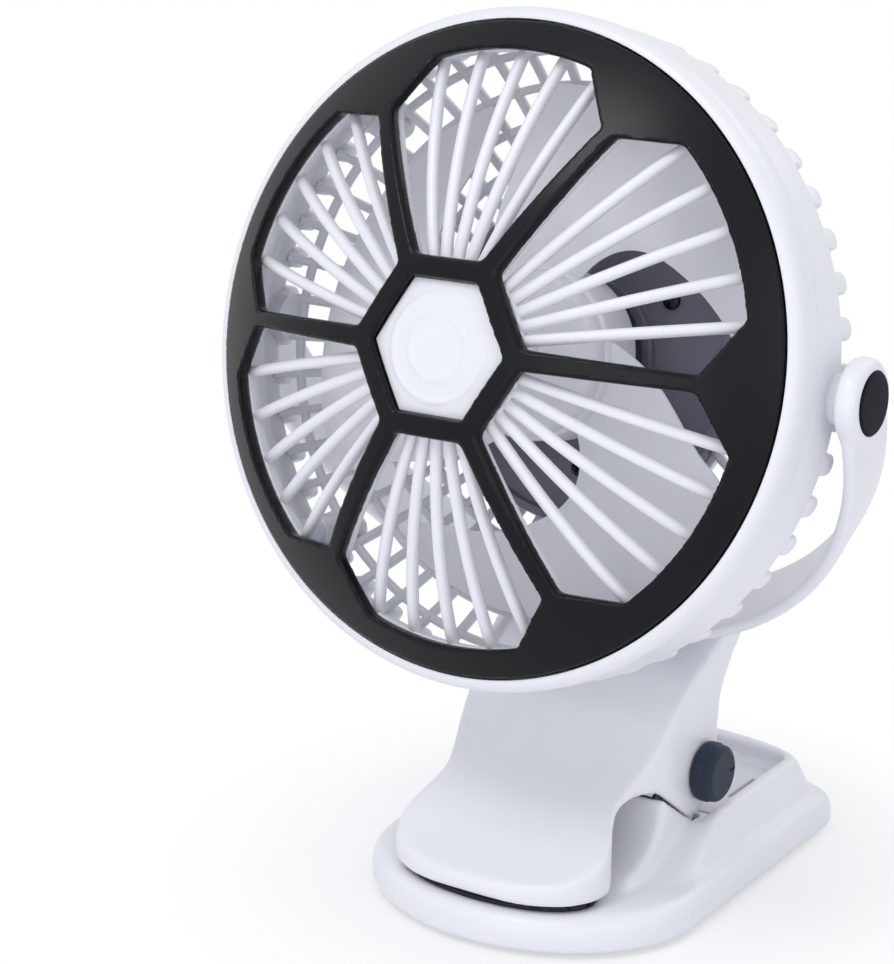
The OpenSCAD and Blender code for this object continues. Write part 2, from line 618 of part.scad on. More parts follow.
module speed_knob() color("#343845") at_knob(knob_x) difference() {
    rotate_extrude() polygon([[0, 0], [knob_r - 0.5, 0], [knob_r, 0.5], [knob_r, 1.9],
        [knob_r - knob_waist, 2.1], [knob_r - knob_waist, 2.5], [knob_r, 2.7],
        [knob_r, knob_t - 1], [knob_r - 1, knob_t], [0, knob_t]]);
    translate([0, 0, -1]) cylinder(r = dial_r, h = knob_t - 0.6, $fn = 48);
    // Pointer groove on the face
    translate([knob_r - 4, 0, knob_t - 0.4]) translate([0, -0.5, 0]) cube([3, 1, 1]);
}

// ---------- base ----------
foot_z = 0.8;
base_plate_t = 2.4;
plate_top = foot_z + base_plate_t;
front_ax = 35;
rear_ax = 13;
front_c = -base_len / 2 + front_ax;
rear_c2 = base_len / 2 - rear_ax;
function base_pts(i) = concat(
    earc([0, front_c], base_half - i, front_ax - i, 180, 360, 28),
    earc([0, rear_c2], base_half - i, rear_ax - i, 0, 180, 28));
module base_outline(i) polygon(base_pts(i));
rim_half = base_half - 9;
function platform_pts(i, y0) = concat(
    [[-rim_half + i + 3, y0], [rim_half - i - 3, y0], [rim_half - i, y0 + 4]],
    earc([0, rear_c2 - 3], rim_half - i, rear_ax - 4 - i, 0, 180, 20), [[-rim_half + i, y0 + 4]]);
function recess_pts(i, y0) = concat([[-rim_half + 3 + i, y0], [rim_half - 3 - i, y0]],
    arc([rim_half - 8 - i, rear_c2 - 5 - i], 5, 0, 60, 6),
    earc([0, rear_c2 - 5 - i], rim_half - 6, rear_ax - 6.4, 60, 120, 8),
    arc([-rim_half + 8 + i, rear_c2 - 5 - i], 5, 120, 180, 6));
recess_y = seam_end[0] - 0.5;
block_y = -5;
pocket_back = 9;
module block_profile() polygon(concat([[-36, deck_z - 1], [-35, deck_z]],
    arc(notch_low, notch_low_r, 271, 354, 12), [seam_end, [recess_y, deck_z - 1]]));
module block_hollow() polygon([[-33, deck_z - base_wall - 2], [-28, deck_z - base_wall + 0.6],
    [-21, 13.4], [-15.6, 18], [-13.6, 22], [-6, 17.2], [block_y, 15], [block_y, deck_z - base_wall - 2]]);
cover_th = 1.6;
ledge_z = floor_z - cover_th - seat - 1.6;
// The battery cell lies between the hinge ears and the charging board
ear_back = 10.5;
cell_front = ear_back + 2.5;
cell_back = rear_c2 - 4;
cell_half = base_half - cell_side;
screw_spots = [[base_half - 8.6, front_c + 4], [base_half - 8.6, rear_c2 - 5]];
module at_spots() for (s = screw_spots) both_sides() translate([s[0], s[1], 0]) children();
port_w = 9;
port_h = 3.2;
port_z = 5.7;
port_end = base_len / 2 - 1.5;
module port_bar(i, y0, y1) translate([0, y1, port_z + port_h / 2]) rotate([90, 0, 0]) {
    side = (port_w - port_h) / 2;
    both_sides() translate([side, 0, 0]) cylinder(r = port_h / 2 + i, h = y1 - y0, $fn = 32);
    translate([-side, -port_h / 2 - i, 0]) cube([2 * side, port_h + 2 * i, y1 - y0]);
}
module base_shell() color("white") difference() {
    union() {
        difference() {
            union() {
                hull() {
                    translate([0, 0, foot_z]) linear_extrude(1) base_outline(0.8);
                    translate([0, 0, foot_z + 1]) linear_extrude(deck_z - 4.5 - foot_z) base_outline(0);
                    translate([0, 0, deck_z - 1.2]) linear_extrude(0.2) base_outline(1);
                    translate([0, 0, deck_z - 0.01]) linear_extrude(0.01) base_outline(3.2);
                }
                hull() {
                    translate([0, 0, deck_z - 2]) linear_extrude(0.5) polygon(platform_pts(-5.5, -28));
                    translate([0, 0, rim_z - 0.8]) linear_extrude(0.4) polygon(platform_pts(-0.2, 1));
                    translate([0, 0, rim_z - 0.01]) linear_extrude(0.01) polygon(platform_pts(0.8, 2));
                }
                slab_x(jaw_half) block_profile();
            }
            // Inside, from below
            translate([0, 0, -1]) linear_extrude(deck_z - base_wall + 1) base_outline(base_wall);
            translate([0, 0, 2]) linear_extrude(ledge_z - 2) polygon(recess_pts(0.4, recess_y + 4));
            slab_x(jaw_half - 4) block_hollow();
            // Thumb recess and the opening under the battery cover
            translate([0, 0, floor_z]) linear_extrude(20) polygon(recess_pts(0, recess_y));
            translate([0, 0, floor_z - cover_th - seat]) linear_extrude(20) cover_outline(-0.1);
            translate([0, 0, 2]) linear_extrude(20) cover_outline(2);
            // Hinge pocket
            translate([-jaw_half + 2.7, block_y + 0.6, 3])
                cube([2 * jaw_half - 5.4, pocket_back - block_y - 0.6, 22]);
            // Pocket for the lower grip pad
            translate([0, 0, deck_z - 1]) linear_extrude(3) pad_outline(-seat);
        }
        // Hinge ears
        both_sides() intersection() {
            translate([ear_in, 0, 0]) rotate([90, 0, 90]) linear_extrude(ear_out - ear_in) polygon(concat(
                [[block_y, foot_z + 4], [ear_back, foot_z + 4], [ear_back, floor_z - 2.4]],
                arc(hinge, lug_r, -10, 190, 16), [[block_y, 14.5]]));
            translate([0, 0, 50]) cube([200, 200, 100], center = true);
        }
        // Seat of the spring's lower leg
        translate([-ear_in - 1, pocket_back - 2.2, foot_z + 5])
            cube([2 * ear_in + 2, 2.6, hinge[1] - coil_r - wire_r - seat - foot_z - 5]);
        // Pillars for the bottom screws
        at_spots() translate([0, 0, plate_top + seat])
            cylinder(r = 3.2, h = deck_z - 1.2 - plate_top, $fn = 32);
    }
    both_sides() at_hinge(ear_in - 1) cylinder(r = pin_r + 0.02, h = ear_out - ear_in + 2, $fn = 48);
    at_spots() cylinder(r = base_screw_r + fit, h = deck_z - 2, $fn = 24);
    port_bar(0.2, port_end - 8, port_end + 10);
    // Scoop in the rim that clears the knob of the opened clip
    translate([0, opened(knob_at, jaw_open)[0], opened(knob_at, jaw_open)[1]]) along_x(jaw_half)
        cylinder(r = knob_r + 2 * gap, h = 20);
}
cover_half = rim_half - 5.5;
slot_at = [cover_half - 1.6, rear_c2 - 18];
function cover_pts(i) = let (a = cover_half - i, y0 = 10.6 + i, y1 = rear_c2 - 3 - i)
    [[-a, y0], [a, y0], [a, y1 - 4], [a - 4, y1], [-a + 4, y1], [-a, y1 - 4]];
module cover_outline(i) polygon(cover_pts(i));
module battery_cover() color("#f2f2f6") difference() {
    translate([0, 0, floor_z - cover_th]) linear_extrude(cover_th) cover_outline(0.1);
    // Pry slot
    translate([slot_at[0] - 0.75, slot_at[1] - 7, floor_z - 5]) cube([1.5, 14, 10]);
}
module base_plate() color("#e4e4ec") difference() {
    union() {
        translate([0, 0, foot_z]) linear_extrude(base_plate_t) base_outline(base_wall + gap);
        for (x = [-8, 8]) translate([x - 1.5, rear_c2 - 1, plate_top - 0.1])
            cube([3, 8, port_z - 1.6 - plate_top]);
    }
    translate([0, 0, -1]) linear_extrude(foot_z * 2 + 1) base_outline(base_wall + 5 - seat);
    at_spots() {
        translate([0, 0, -1]) cylinder(r = base_screw_r + fit, h = 10, $fn = 24);
        translate([0, 0, -1]) cylinder(r = 2.5, h = 1 + foot_z + 1.4, $fn = 24);
    }
}
module base_screws() color("dimgray") at_spots() translate([0, 0, foot_z + 1.4 - seat]) mirror([0, 0, 1])
    screw(base_screw_r, 5.6, 2.2, 0.5);
module base_pad() color("#4a4b55") linear_extrude(foot_z * 2 - seat) base_outline(base_wall + 5);
module lower_grip_pad() color("#23242e")
    translate([0, 0, deck_z - 1 + seat]) linear_extrude(1.6 - seat) pad_outline(0);
module battery_cell() color("#4f79b8") translate([-cell_half, cell_front, plate_top + seat])
    cube([2 * cell_half, cell_back - cell_front, ledge_z - plate_top - 2 * seat - 0.1]);
module charge_board() color("seagreen")
    translate([-11, rear_c2 - 2, port_z - 1.6]) cube([22, 11, 1.6 - seat]);
module charge_port() color("silver") difference() {
    port_bar(0, port_end - 7.3, port_end);
    port_bar(-0.4, port_end - 6.5, port_end + 1);
}
pin_len = lug_out - 0.1;
module hinge_pin() color("silver") at_hinge(-pin_len) cylinder(r = pin_r, h = 2 * pin_len, $fn = 48);
module pin_clips() color("dimgray") both_sides() at_hinge(ear_in - 0.8 - seat) difference() {
    cylinder(r = 3, h = 0.8, $fn = 32);
    translate([0, 0, -1]) cylinder(r = pin_r, h = 4, $fn = 48);
}

// Torsion spring: a helix round the pin with a leg in the jaw and a leg on the base's seat
wire_r = 0.7;
coil_r = 4;
coil_turns = 10.36;
coil_half = 8.6;
steps = 14;
coil_n = floor(coil_turns * steps);
function coil_pt(i) = let (t = -90 + 360 * i / steps)
    [-coil_half + 2 * coil_half * i / coil_n, hinge[0] + coil_r * cos(t), hinge[1] + coil_r * sin(t)];
spring_path = concat([[-coil_half, pocket_back - 0.4, hinge[1] - coil_r]],
    [for (i = [0:coil_n]) coil_pt(i)],
    [[coil_half + 0.6, -10.6, 39.4]]);
function unit(v) = v / norm(v);
function path_dir(p, i) = unit(p[min(i + 1, len(p) - 1)] - p[max(i - 1, 0)]);
function side_dir(d) = let (u = abs(d[0]) > 0.9 ? [0, 0, 1] : [1, 0, 0]) unit(cross(d, u));
sides = 8;
module tube(p, r) {
    n = len(p);
    pts = [for (i = [0:n - 1]) let (d = path_dir(p, i), s = side_dir(d), q = cross(d, s))
        for (k = [0:sides - 1]) p[i] + r * (cos(360 * k / sides) * s + sin(360 * k / sides) * q)];
    faces = concat([[for (k = [0:sides - 1]) k]],
        [for (i = [0:n - 2]) for (k = [0:sides - 1]) let (a = i * sides + k, b = i * sides + (k + 1) % sides)
            [a, a + sides, b + sides, b]],
        [[for (k = [sides - 1:-1:0]) (n - 1) * sides + k]]);
    polyhedron(points = pts, faces = faces);
}
module hinge_spring() color("silver") tube(spring_path, wire_r);

// ---------- show ----------
head_frame() front_grille();
head_frame() grille_trim();
head_frame() front_disc();
head_frame() rear_shell();
head_frame() motor_mount();
head_frame() motor_can();
head_frame() motor_screws();
head_frame() mount_screws();
head_frame() grille_screws();
head_frame() pivot_screws();
head_frame() pivot_washers();
head_frame() motor_shaft();
head_frame() impeller();
head_frame() hub_cap();
yoke_frame() yoke();
yoke_frame() pivot_caps();
yoke_frame() swivel_post();
upper_jaw();
neck_cover();
cover_screws();
upper_grip_pad();
yoke_frame() swivel_washer();
yoke_frame() swivel_clip();
speed_control();
control_board();
speed_knob();
control_shaft();
base_shell();
base_plate();
base_pad();
lower_grip_pad();
battery_cover();
battery_cell();
charge_board();
charge_port();
hinge_pin();
pin_clips();
hinge_spring();
base_screws();
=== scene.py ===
"""A portable clip-on camping fan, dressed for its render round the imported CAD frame."""
import math

import bmesh
import bpy
import numpy as np
from mathutils import Matrix, Vector
from mathutils.bvhtree import BVHTree


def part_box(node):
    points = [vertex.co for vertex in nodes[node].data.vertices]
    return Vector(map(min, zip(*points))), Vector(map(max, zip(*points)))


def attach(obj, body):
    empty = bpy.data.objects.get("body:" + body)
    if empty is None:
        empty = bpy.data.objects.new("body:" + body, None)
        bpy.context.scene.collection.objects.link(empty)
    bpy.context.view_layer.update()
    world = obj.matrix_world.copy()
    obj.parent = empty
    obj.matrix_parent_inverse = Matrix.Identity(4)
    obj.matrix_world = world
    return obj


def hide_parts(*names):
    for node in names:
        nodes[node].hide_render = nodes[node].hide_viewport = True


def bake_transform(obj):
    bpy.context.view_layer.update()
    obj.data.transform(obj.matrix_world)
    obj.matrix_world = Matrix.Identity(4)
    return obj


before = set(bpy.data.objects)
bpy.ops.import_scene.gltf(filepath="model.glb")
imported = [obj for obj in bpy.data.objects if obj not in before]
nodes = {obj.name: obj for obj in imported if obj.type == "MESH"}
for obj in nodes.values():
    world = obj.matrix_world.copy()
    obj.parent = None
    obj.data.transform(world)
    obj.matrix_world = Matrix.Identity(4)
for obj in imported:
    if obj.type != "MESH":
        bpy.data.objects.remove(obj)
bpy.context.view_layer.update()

# ---------- sizes, in millimetres, as the CAD has them ----------
MM = 0.001
PIVOT = Matrix.Translation((0, -29, 135))
# Origin on the tilt axis, +Z along the air flow
HEAD = PIVOT @ Matrix.Rotation(math.radians(-12.4), 4, "X") @ Matrix.Rotation(math.radians(90), 4, "X")
# Origin on the tilt axis, -Z down the yoke's swivel
YOKE = PIVOT @ Matrix.Rotation(math.radians(28), 4, "X")
TABLE = Matrix.Identity(4)
# Turned over, for screws driven upwards or forwards
FLIP = Matrix.Rotation(math.pi, 4, "X")
# Turns that lay +Z along +X and along -X
SIDES = [Matrix.Rotation(side, 4, "Z") @ Matrix.Rotation(math.pi / 2, 4, "Y") for side in (0, math.pi)]
# Keeps a piece's own millimetres until it is placed
OWN_MM = Matrix.Scale(1000, 4)
# Y and Z of the clip's hinge, and the knob's seat
HINGE_Y, HINGE_Z = 2, 17.5
KNOB_AT = (29, 4, 28.4)

RIM_R, RIM_A, FACE_A, SEAM_A = 75.8, 17, 21.3, 12
TRIM_R, TRIM_T, BAND_IN = 72.5, 3.4, 65.7
CROWN_R, CROWN_A = 21.5, 41.1
DOME_SUM = (TRIM_R ** 2 - CROWN_R ** 2) / (CROWN_A - FACE_A)
DOME_U = (DOME_SUM + CROWN_A - FACE_A) / 2
DOME_R = math.hypot(DOME_U, CROWN_R)
DOME_C = CROWN_A - DOME_U
DRUM_R, DRUM_IN = 75.5, 73.1
RIB_SKIN, RIB_W, RIB_T, RIB_STEP = 3.7, 2.7, 2.6, math.radians(9.2)
REAR_DISC_R, REAR_DEPTH, REAR_T = 41, 28, 2.2
REAR_RIBS, REAR_RINGS, TOOTH_R = 48, 4, 2.5
REAR_SUM = ((DRUM_IN + 0.6) ** 2 - REAR_DISC_R ** 2) / (REAR_DEPTH - 2)
REAR_U = (REAR_SUM + REAR_DEPTH - 2) / 2
REAR_R = math.hypot(REAR_U, REAR_DISC_R)
REAR_C = REAR_U - REAR_DEPTH + 2
SCREW_RING_R, SCREW_ANGLES = DRUM_IN - 4, (45, 135, 225, 315)
SWING_R = math.hypot(RIM_R, RIM_A)
YOKE_RI = SWING_R + 1.3
YOKE_RO = YOKE_RI + 3.3
BOSS_X, BOSS_OUT = YOKE_RI - 0.4, YOKE_RO + 1.5
CAP_FLOOR = BOSS_OUT - 1.6
FLAT_Z = YOKE_RO + 1.4
HUB_R, HUB_REAR, HUB_A = 20, -11.3, 1.7
MOUNT_R, MOUNT_H, MOUNT_A = 39.5, 3, -REAR_DEPTH + REAR_T + 0.45
# Gap between faces that seat on each other
SEAT = 0.05


def dome_z(r, skin=0.0):
    """Height of the front dome's surface, skin below it, at radius r."""
    return DOME_C + math.sqrt((DOME_R - skin) ** 2 - r * r)


# ---------- nodes ----------
def add(tree, kind, inputs=None, **settings):
    """Adds a node with its settings; inputs are values or sockets to link, by name or number."""
    node = tree.nodes.new(kind)
    for key, value in settings.items():
        setattr(node, key, value)
    for key, value in (inputs or {}).items():
        if isinstance(value, bpy.types.NodeSocket):
            tree.links.new(value, node.inputs[key])
        else:
            node.inputs[key].default_value = value
    return node


def maths(tree, operation, *values):
    """What a maths node makes of its values, which are numbers or sockets."""
    return add(tree, "ShaderNodeMath", dict(enumerate(values)), operation=operation).outputs[0]


def linear(code):
    """An sRGB hex colour as linear red, green, blue and 1."""
    parts = [int(code[i:i + 2], 16) / 255 for i in (1, 3, 5)]
    return [p / 12.92 if p <= 0.04045 else ((p + 0.055) / 1.055) ** 2.4 for p in parts] + [1]


# ---------- mesh helpers ----------
def linked(name, mesh):
    """A new object in the scene."""
    piece = bpy.data.objects.new(name, mesh)
    bpy.context.scene.collection.objects.link(piece)
    return piece


def applied(piece):
    """The piece's modifiers made plain mesh."""
    graph = bpy.context.evaluated_depsgraph_get()
    mesh = bpy.data.meshes.new_from_object(piece.evaluated_get(graph), depsgraph=graph)
    piece.modifiers.clear()
    old, piece.data = piece.data, mesh
    bpy.data.meshes.remove(old)
    return piece


def modified(piece, kind, **settings):
    """Runs one modifier on a piece and keeps the result as plain mesh."""
    step = piece.modifiers.new(kind.lower(), kind)
    for key, value in settings.items():
        setattr(step, key, value)
    return applied(piece)


def shaded(piece, angle=38):
    """Smooth shading that keeps the edges sharper than the angle."""
    piece.data.shade_smooth()
    piece.data.set_sharp_from_angle(angle=math.radians(angle))
    return piece


def filleted(points, steps=6):
    """An outline with rounded corners; each point is x, y and its corner's radius."""
    out = []
    for i, point in enumerate(points):
        p = Vector(point[:2])
        radius = point[2] if len(point) > 2 else 0
        if radius == 0:
            out.append(tuple(p))
            continue
        a = Vector(points[i - 1][:2]) - p
        b = Vector(points[(i + 1) % len(points)][:2]) - p
        half = a.angle(b) / 2
        cut = min(radius / math.tan(half), a.length * 0.5, b.length * 0.5)
        radius = cut * math.tan(half)
        middle = p + (a.normalized() + b.normalized()).normalized() * radius / math.sin(half)
        start = p + a.normalized() * cut - middle
        end = p + b.normalized() * cut - middle
        turn = start.angle_signed(end)
        for k in range(steps + 1):
            t = -turn * k / steps
            out.append((middle.x + start.x * math.cos(t) - start.y * math.sin(t),
                        middle.y + start.x * math.sin(t) + start.y * math.cos(t)))
    return out


def turned(profile, segments=192):
    """A closed shell turned about Z from a closed outline of radius and height."""
    verts, faces, rows = [], [], []
    on_axis = 1e-6
    for r, a in profile:
        if r < on_axis:
            rows.append([len(verts)] * segments)
            verts.append((0, 0, a))
        else:
            rows.append(list(range(len(verts), len(verts) + segments)))
            verts += [(r * math.cos(math.tau * k / segments), r * math.sin(math.tau * k / segments), a)
                      for k in range(segments)]
    for row, after in zip(rows, rows[1:] + rows[:1]):
        for k in range(segments):
            m = (k + 1) % segments
            ring = []
            for v in (row[k], row[m], after[m], after[k]):
                if v not in ring:
                    ring.append(v)
            if len(ring) > 2:
                faces.append(ring)
    return verts, faces


def moved(shape, matrix):
    """A shell carried along by a matrix."""
    return [tuple(matrix @ Vector(v)) for v in shape[0]], shape[1]


def extruded(outline, low, high):
    """A closed prism of an outline along Z."""
    n = len(outline)
    verts = [(x, y, low) for x, y in outline] + [(x, y, high) for x, y in outline]
    faces = [list(range(n))[::-1], list(range(n, 2 * n))]
    faces += [[i, (i + 1) % n, n + (i + 1) % n, n + i] for i in range(n)]
    return verts, faces


def block(x, y, low, high):
    """A closed block along Z; x and y are each its lowest and highest place."""
    return extruded([(x[0], y[0]), (x[1], y[0]), (x[1], y[1]), (x[0], y[1])], low, high)


def rod(radius, low, high, segments):
    """A closed cylinder about Z."""
    return turned([(0, low), (radius, low), (radius, high), (0, high)], segments)


def built(name, shapes, matrix=TABLE, bevel=0.0):
    """One mesh of several closed shells, with faces outwards, in metres and in place."""
    made = bmesh.new()
    for verts, faces in shapes:
        own = [made.verts.new(v) for v in verts]
        for face in faces:
            made.faces.new([own[i] for i in face])
    bmesh.ops.remove_doubles(made, verts=made.verts, dist=1e-4)
    bmesh.ops.recalc_face_normals(made, faces=made.faces)
    if bevel:
        sharp = [e for e in made.edges if len(e.link_faces) == 2 and e.calc_face_angle() > math.radians(40)]
        bmesh.ops.bevel(made, geom=sharp, offset=bevel, segments=3, profile=0.5, affect="EDGES",
                        clamp_overlap=True)
    made.transform(Matrix.Scale(MM, 4) @ matrix)
    mesh = bpy.data.meshes.new(name)
    made.to_mesh(mesh)
    made.free()
    return shaded(linked(name, mesh))


def joined(name, pieces):
    """Several pieces as one mesh."""
    made = bmesh.new()
    for piece in pieces:
        made.from_mesh(piece.data)
        bpy.data.objects.remove(piece)
    mesh = bpy.data.meshes.new(name)
    made.to_mesh(mesh)
    made.free()
    return shaded(linked(name, mesh))


def reworked(mesh, work):
    """Runs a function of mesh edits on a mesh."""
    made = bmesh.new()
    made.from_mesh(mesh)
    work(made)
    made.to_mesh(mesh)
    made.free()


def merged_copy(node, name):
    """A copy of a CAD node's mesh with its loose triangles joined."""
    piece = linked(name, nodes[node].data.copy())
    piece.data.materials.clear()

    def weld(made):
        bmesh.ops.remove_doubles(made, verts=made.verts, dist=2e-6)

    reworked(piece.data, weld)
    return piece


def remeshed(piece, voxel):
    """The piece's shells melted into one mesh of even small faces."""
    return modified(piece, "REMESH", mode="VOXEL", voxel_size=voxel * MM)


def coordinates(mesh):
    """A mesh's points as rows of X, Y and Z."""
    co = np.empty(len(mesh.vertices) * 3, np.float64)
    mesh.vertices.foreach_get("co", co)
    return co.reshape(-1, 3)


def outer_share(mesh, reach=60):
    """1 for a point that sees out of the piece, 0 for one that looks at another wall of it."""
    tree = BVHTree.FromPolygons([v.co for v in mesh.vertices], [p.vertices for p in mesh.polygons])
    share = np.ones(len(mesh.vertices))
    for i, v in enumerate(mesh.vertices):
        if tree.ray_cast(v.co + v.normal * 0.4 * MM, v.normal, reach * MM)[0] is not None:
            share[i] = 0
    return share


def clear_share(mesh, neighbour, reach=1.5):
    """1 for a point clear of a neighbouring piece, falling to 0 where it meets it."""
    tree = BVHTree.FromPolygons([v.co for v in neighbour.vertices], [p.vertices for p in neighbour.polygons])
    share = np.ones(len(mesh.vertices))
    for i, v in enumerate(mesh.vertices):
        distance = tree.find_nearest(v.co, reach * MM)[3]
        if distance is not None:
            share[i] = (distance / (reach * MM)) ** 2
    return share


def relaxed(piece, rounds, weight=1.0):
    """Moves each point towards its neighbours' mean, which rounds the edges.

    The weight, from 0 to 1, is how far each point moves: one number, or one for each point."""
    mesh = piece.data
    count = len(mesh.vertices)
    co = coordinates(mesh)
    edges = np.empty(len(mesh.edges) * 2, np.int64)
    mesh.edges.foreach_get("vertices", edges)
    a, b = edges.reshape(-1, 2).T
    degree = np.bincount(edges, minlength=count)

    def mean(values):
        return (np.bincount(a, values[b], count) + np.bincount(b, values[a], count)) / degree

    share = np.ones(count) * weight
    if np.ndim(weight):
        share = 0.5 * share + 0.5 * mean(share)
    for _ in range(rounds):
        co += (share * 0.6)[:, None] * (np.stack([mean(co[:, k]) for k in range(3)], 1) - co)
    mesh.vertices.foreach_set("co", co.ravel())
    mesh.update()
    return piece


def combined(piece, other, operation):
    """The piece joined with or cut by the other, which is used up."""
    modified(piece, "BOOLEAN", operation=operation, object=other, solver="EXACT")
    bpy.data.objects.remove(other)
    return piece


def cut(piece, cutter):
    """Takes the cutter's shape out of the piece."""
    return combined(piece, cutter, "DIFFERENCE")


# ---------- geometry trees ----------
def new_tree(name, sizes):
    """A geometry tree with named inputs."""
    tree = bpy.data.node_groups.new(name, "GeometryNodeTree")
    tree.interface.new_socket("Geometry", in_out="INPUT", socket_type="NodeSocketGeometry")
    for size, (kind, value) in sizes.items():
        socket = tree.interface.new_socket(size, in_out="INPUT", socket_type=kind)
        if value is not None:
            socket.default_value = value
    tree.interface.new_socket("Geometry", in_out="OUTPUT", socket_type="NodeSocketGeometry")
    return tree, tree.nodes.new("NodeGroupInput")


def end_tree(tree, source, shape):
    """Ends a tree: its instances made real, its material set."""
    real = add(tree, "GeometryNodeRealizeInstances", {0: shape})
    dressed = add(tree, "GeometryNodeSetMaterial", {"Geometry": real.outputs[0],
                                                    "Material": source.outputs["Finish"]})
    add(tree, "NodeGroupOutput", {0: dressed.outputs[0]})
    return tree


def turned_copies(tree, shape, count, first, cluster=1, step=0.0):
    """Copies about Z, in clusters: the first of each on its edge, the rest a step apart about its middle."""
    one = add(tree, "GeometryNodeGeometryToInstance", {0: shape})
    many = add(tree, "GeometryNodeDuplicateElements", {"Geometry": one.outputs[0], "Amount": count},
               domain="INSTANCE")
    number = many.outputs[1]
    sector = maths(tree, "DIVIDE", math.tau, maths(tree, "DIVIDE", count, cluster))
    whole = maths(tree, "FLOOR", maths(tree, "DIVIDE", number, cluster))
    within = maths(tree, "MODULO", number, cluster)
    edge = maths(tree, "MULTIPLY_ADD", whole, sector, first)
    off = maths(tree, "SUBTRACT", within, maths(tree, "MULTIPLY", cluster, 0.5))
    place = maths(tree, "MULTIPLY_ADD", off, step, maths(tree, "MULTIPLY", sector, 0.5))
    inside = maths(tree, "GREATER_THAN", within, 0.5)
    turn = add(tree, "ShaderNodeCombineXYZ", {2: maths(tree, "MULTIPLY_ADD", place, inside, edge)})
    spin = add(tree, "FunctionNodeEulerToRotation", {0: turn.outputs[0]})
    spread = add(tree, "GeometryNodeRotateInstances", {
        "Instances": many.outputs[0], "Rotation": spin.outputs[0], "Local Space": False})
    return spread.outputs[0]


INT, FLOAT, MATERIAL = "NodeSocketInt", "NodeSocketFloat", "NodeSocketMaterial"


def wheel_tree():
    """The geometry, repeated about Z."""
    tree, source = new_tree("turned_copies", {"Count": (INT, 5), "First angle": (FLOAT, 0.0),
                                              "Finish": (MATERIAL, None)})
    copies = turned_copies(tree, source.outputs[0], source.outputs["Count"], source.outputs["First angle"])
    return end_tree(tree, source, copies)


def rib_tree():
    """Round-edged ribs that follow a dome, spread about Z, added to the geometry."""
    tree, source = new_tree("domed_ribs", {
        "Count": (INT, 36), "First angle": (FLOAT, 0.0), "Cluster": (INT, 1), "Step": (FLOAT, 0.0),
        "Inner radius": (FLOAT, 20.0), "Outer radius": (FLOAT, 60.0), "Dome radius": (FLOAT, 130.0),
        "Dome centre": (FLOAT, 0.0), "Side": (FLOAT, 1.0), "Width": (FLOAT, 2.7), "Depth": (FLOAT, 2.6),
        "Edge": (FLOAT, 1.0), "Finish": (MATERIAL, None)})
    size = source.outputs
    start = add(tree, "ShaderNodeCombineXYZ", {0: size["Inner radius"]})
    end = add(tree, "ShaderNodeCombineXYZ", {0: size["Outer radius"]})
    line = add(tree, "GeometryNodeCurvePrimitiveLine", {"Start": start.outputs[0], "End": end.outputs[0]})
    fine = add(tree, "GeometryNodeResampleCurve", {"Curve": line.outputs[0], "Count": 26})
    place = add(tree, "ShaderNodeSeparateXYZ", {0: add(tree, "GeometryNodeInputPosition").outputs[0]})
    x2 = maths(tree, "MULTIPLY", place.outputs[0], place.outputs[0])
    r2 = maths(tree, "MULTIPLY", size["Dome radius"], size["Dome radius"])
    rise = maths(tree, "SQRT", maths(tree, "SUBTRACT", r2, x2))
    height = maths(tree, "MULTIPLY_ADD", rise, size["Side"], size["Dome centre"])
    onto = add(tree, "ShaderNodeCombineXYZ", {0: place.outputs[0], 2: height})
    bent = add(tree, "GeometryNodeSetPosition", {"Geometry": fine.outputs[0], "Position": onto.outputs[0]})
    section = add(tree, "GeometryNodeCurvePrimitiveQuadrilateral",
                  {"Width": size["Depth"], "Height": size["Width"]})
    round_edged = add(tree, "GeometryNodeFilletCurve",
                      {"Curve": section.outputs[0], "Count": 4, "Radius": size["Edge"]}, mode="POLY")
    rib = add(tree, "GeometryNodeCurveToMesh", {
        "Curve": bent.outputs[0], "Profile Curve": round_edged.outputs[0], "Fill Caps": True})
    smooth = add(tree, "GeometryNodeSetShadeSmooth", {"Geometry": rib.outputs[0], "Shade Smooth": True})
    ribs = turned_copies(tree, smooth.outputs[0], size["Count"], size["First angle"], size["Cluster"],
                         size["Step"])
    both = add(tree, "GeometryNodeJoinGeometry")
    tree.links.new(source.outputs[0], both.inputs[0])
    tree.links.new(ribs, both.inputs[0])
    return end_tree(tree, source, both.outputs[0])


def grown(piece, tree, values):
    """Runs a geometry tree on a piece and keeps the result as plain mesh."""
    step = piece.modifiers.new(tree.name, "NODES")
    step.node_group = tree
    for socket in tree.interface.items_tree:
        if socket.in_out == "INPUT" and socket.name in values:
            step[socket.identifier] = values[socket.name]
    return applied(piece)


def placed(piece, matrix):
    """Millimetres in a piece's own frame become metres in the fan's."""
    piece.data.transform(Matrix.Scale(MM, 4) @ matrix)
    return piece


WHEEL = wheel_tree()
RIBS = rib_tree()


# ---------- materials ----------
def material(name):
    """A new material, its node tree and its surface node."""
    made = bpy.data.materials.new(name)
    made.use_nodes = True
    tree = made.node_tree
    return made, tree, tree.nodes["Principled BSDF"]


def mixed_tone(tree, share, colour, other):
    """A colour that drifts between two by a share from 0 to 1."""
    mix = add(tree, "ShaderNodeMix", {0: share, 6: linear(colour), 7: linear(other)}, data_type="RGBA")
    return mix.outputs[2]


GLOSS_SPREAD, PLASTIC_IOR = 0.05, 1.53


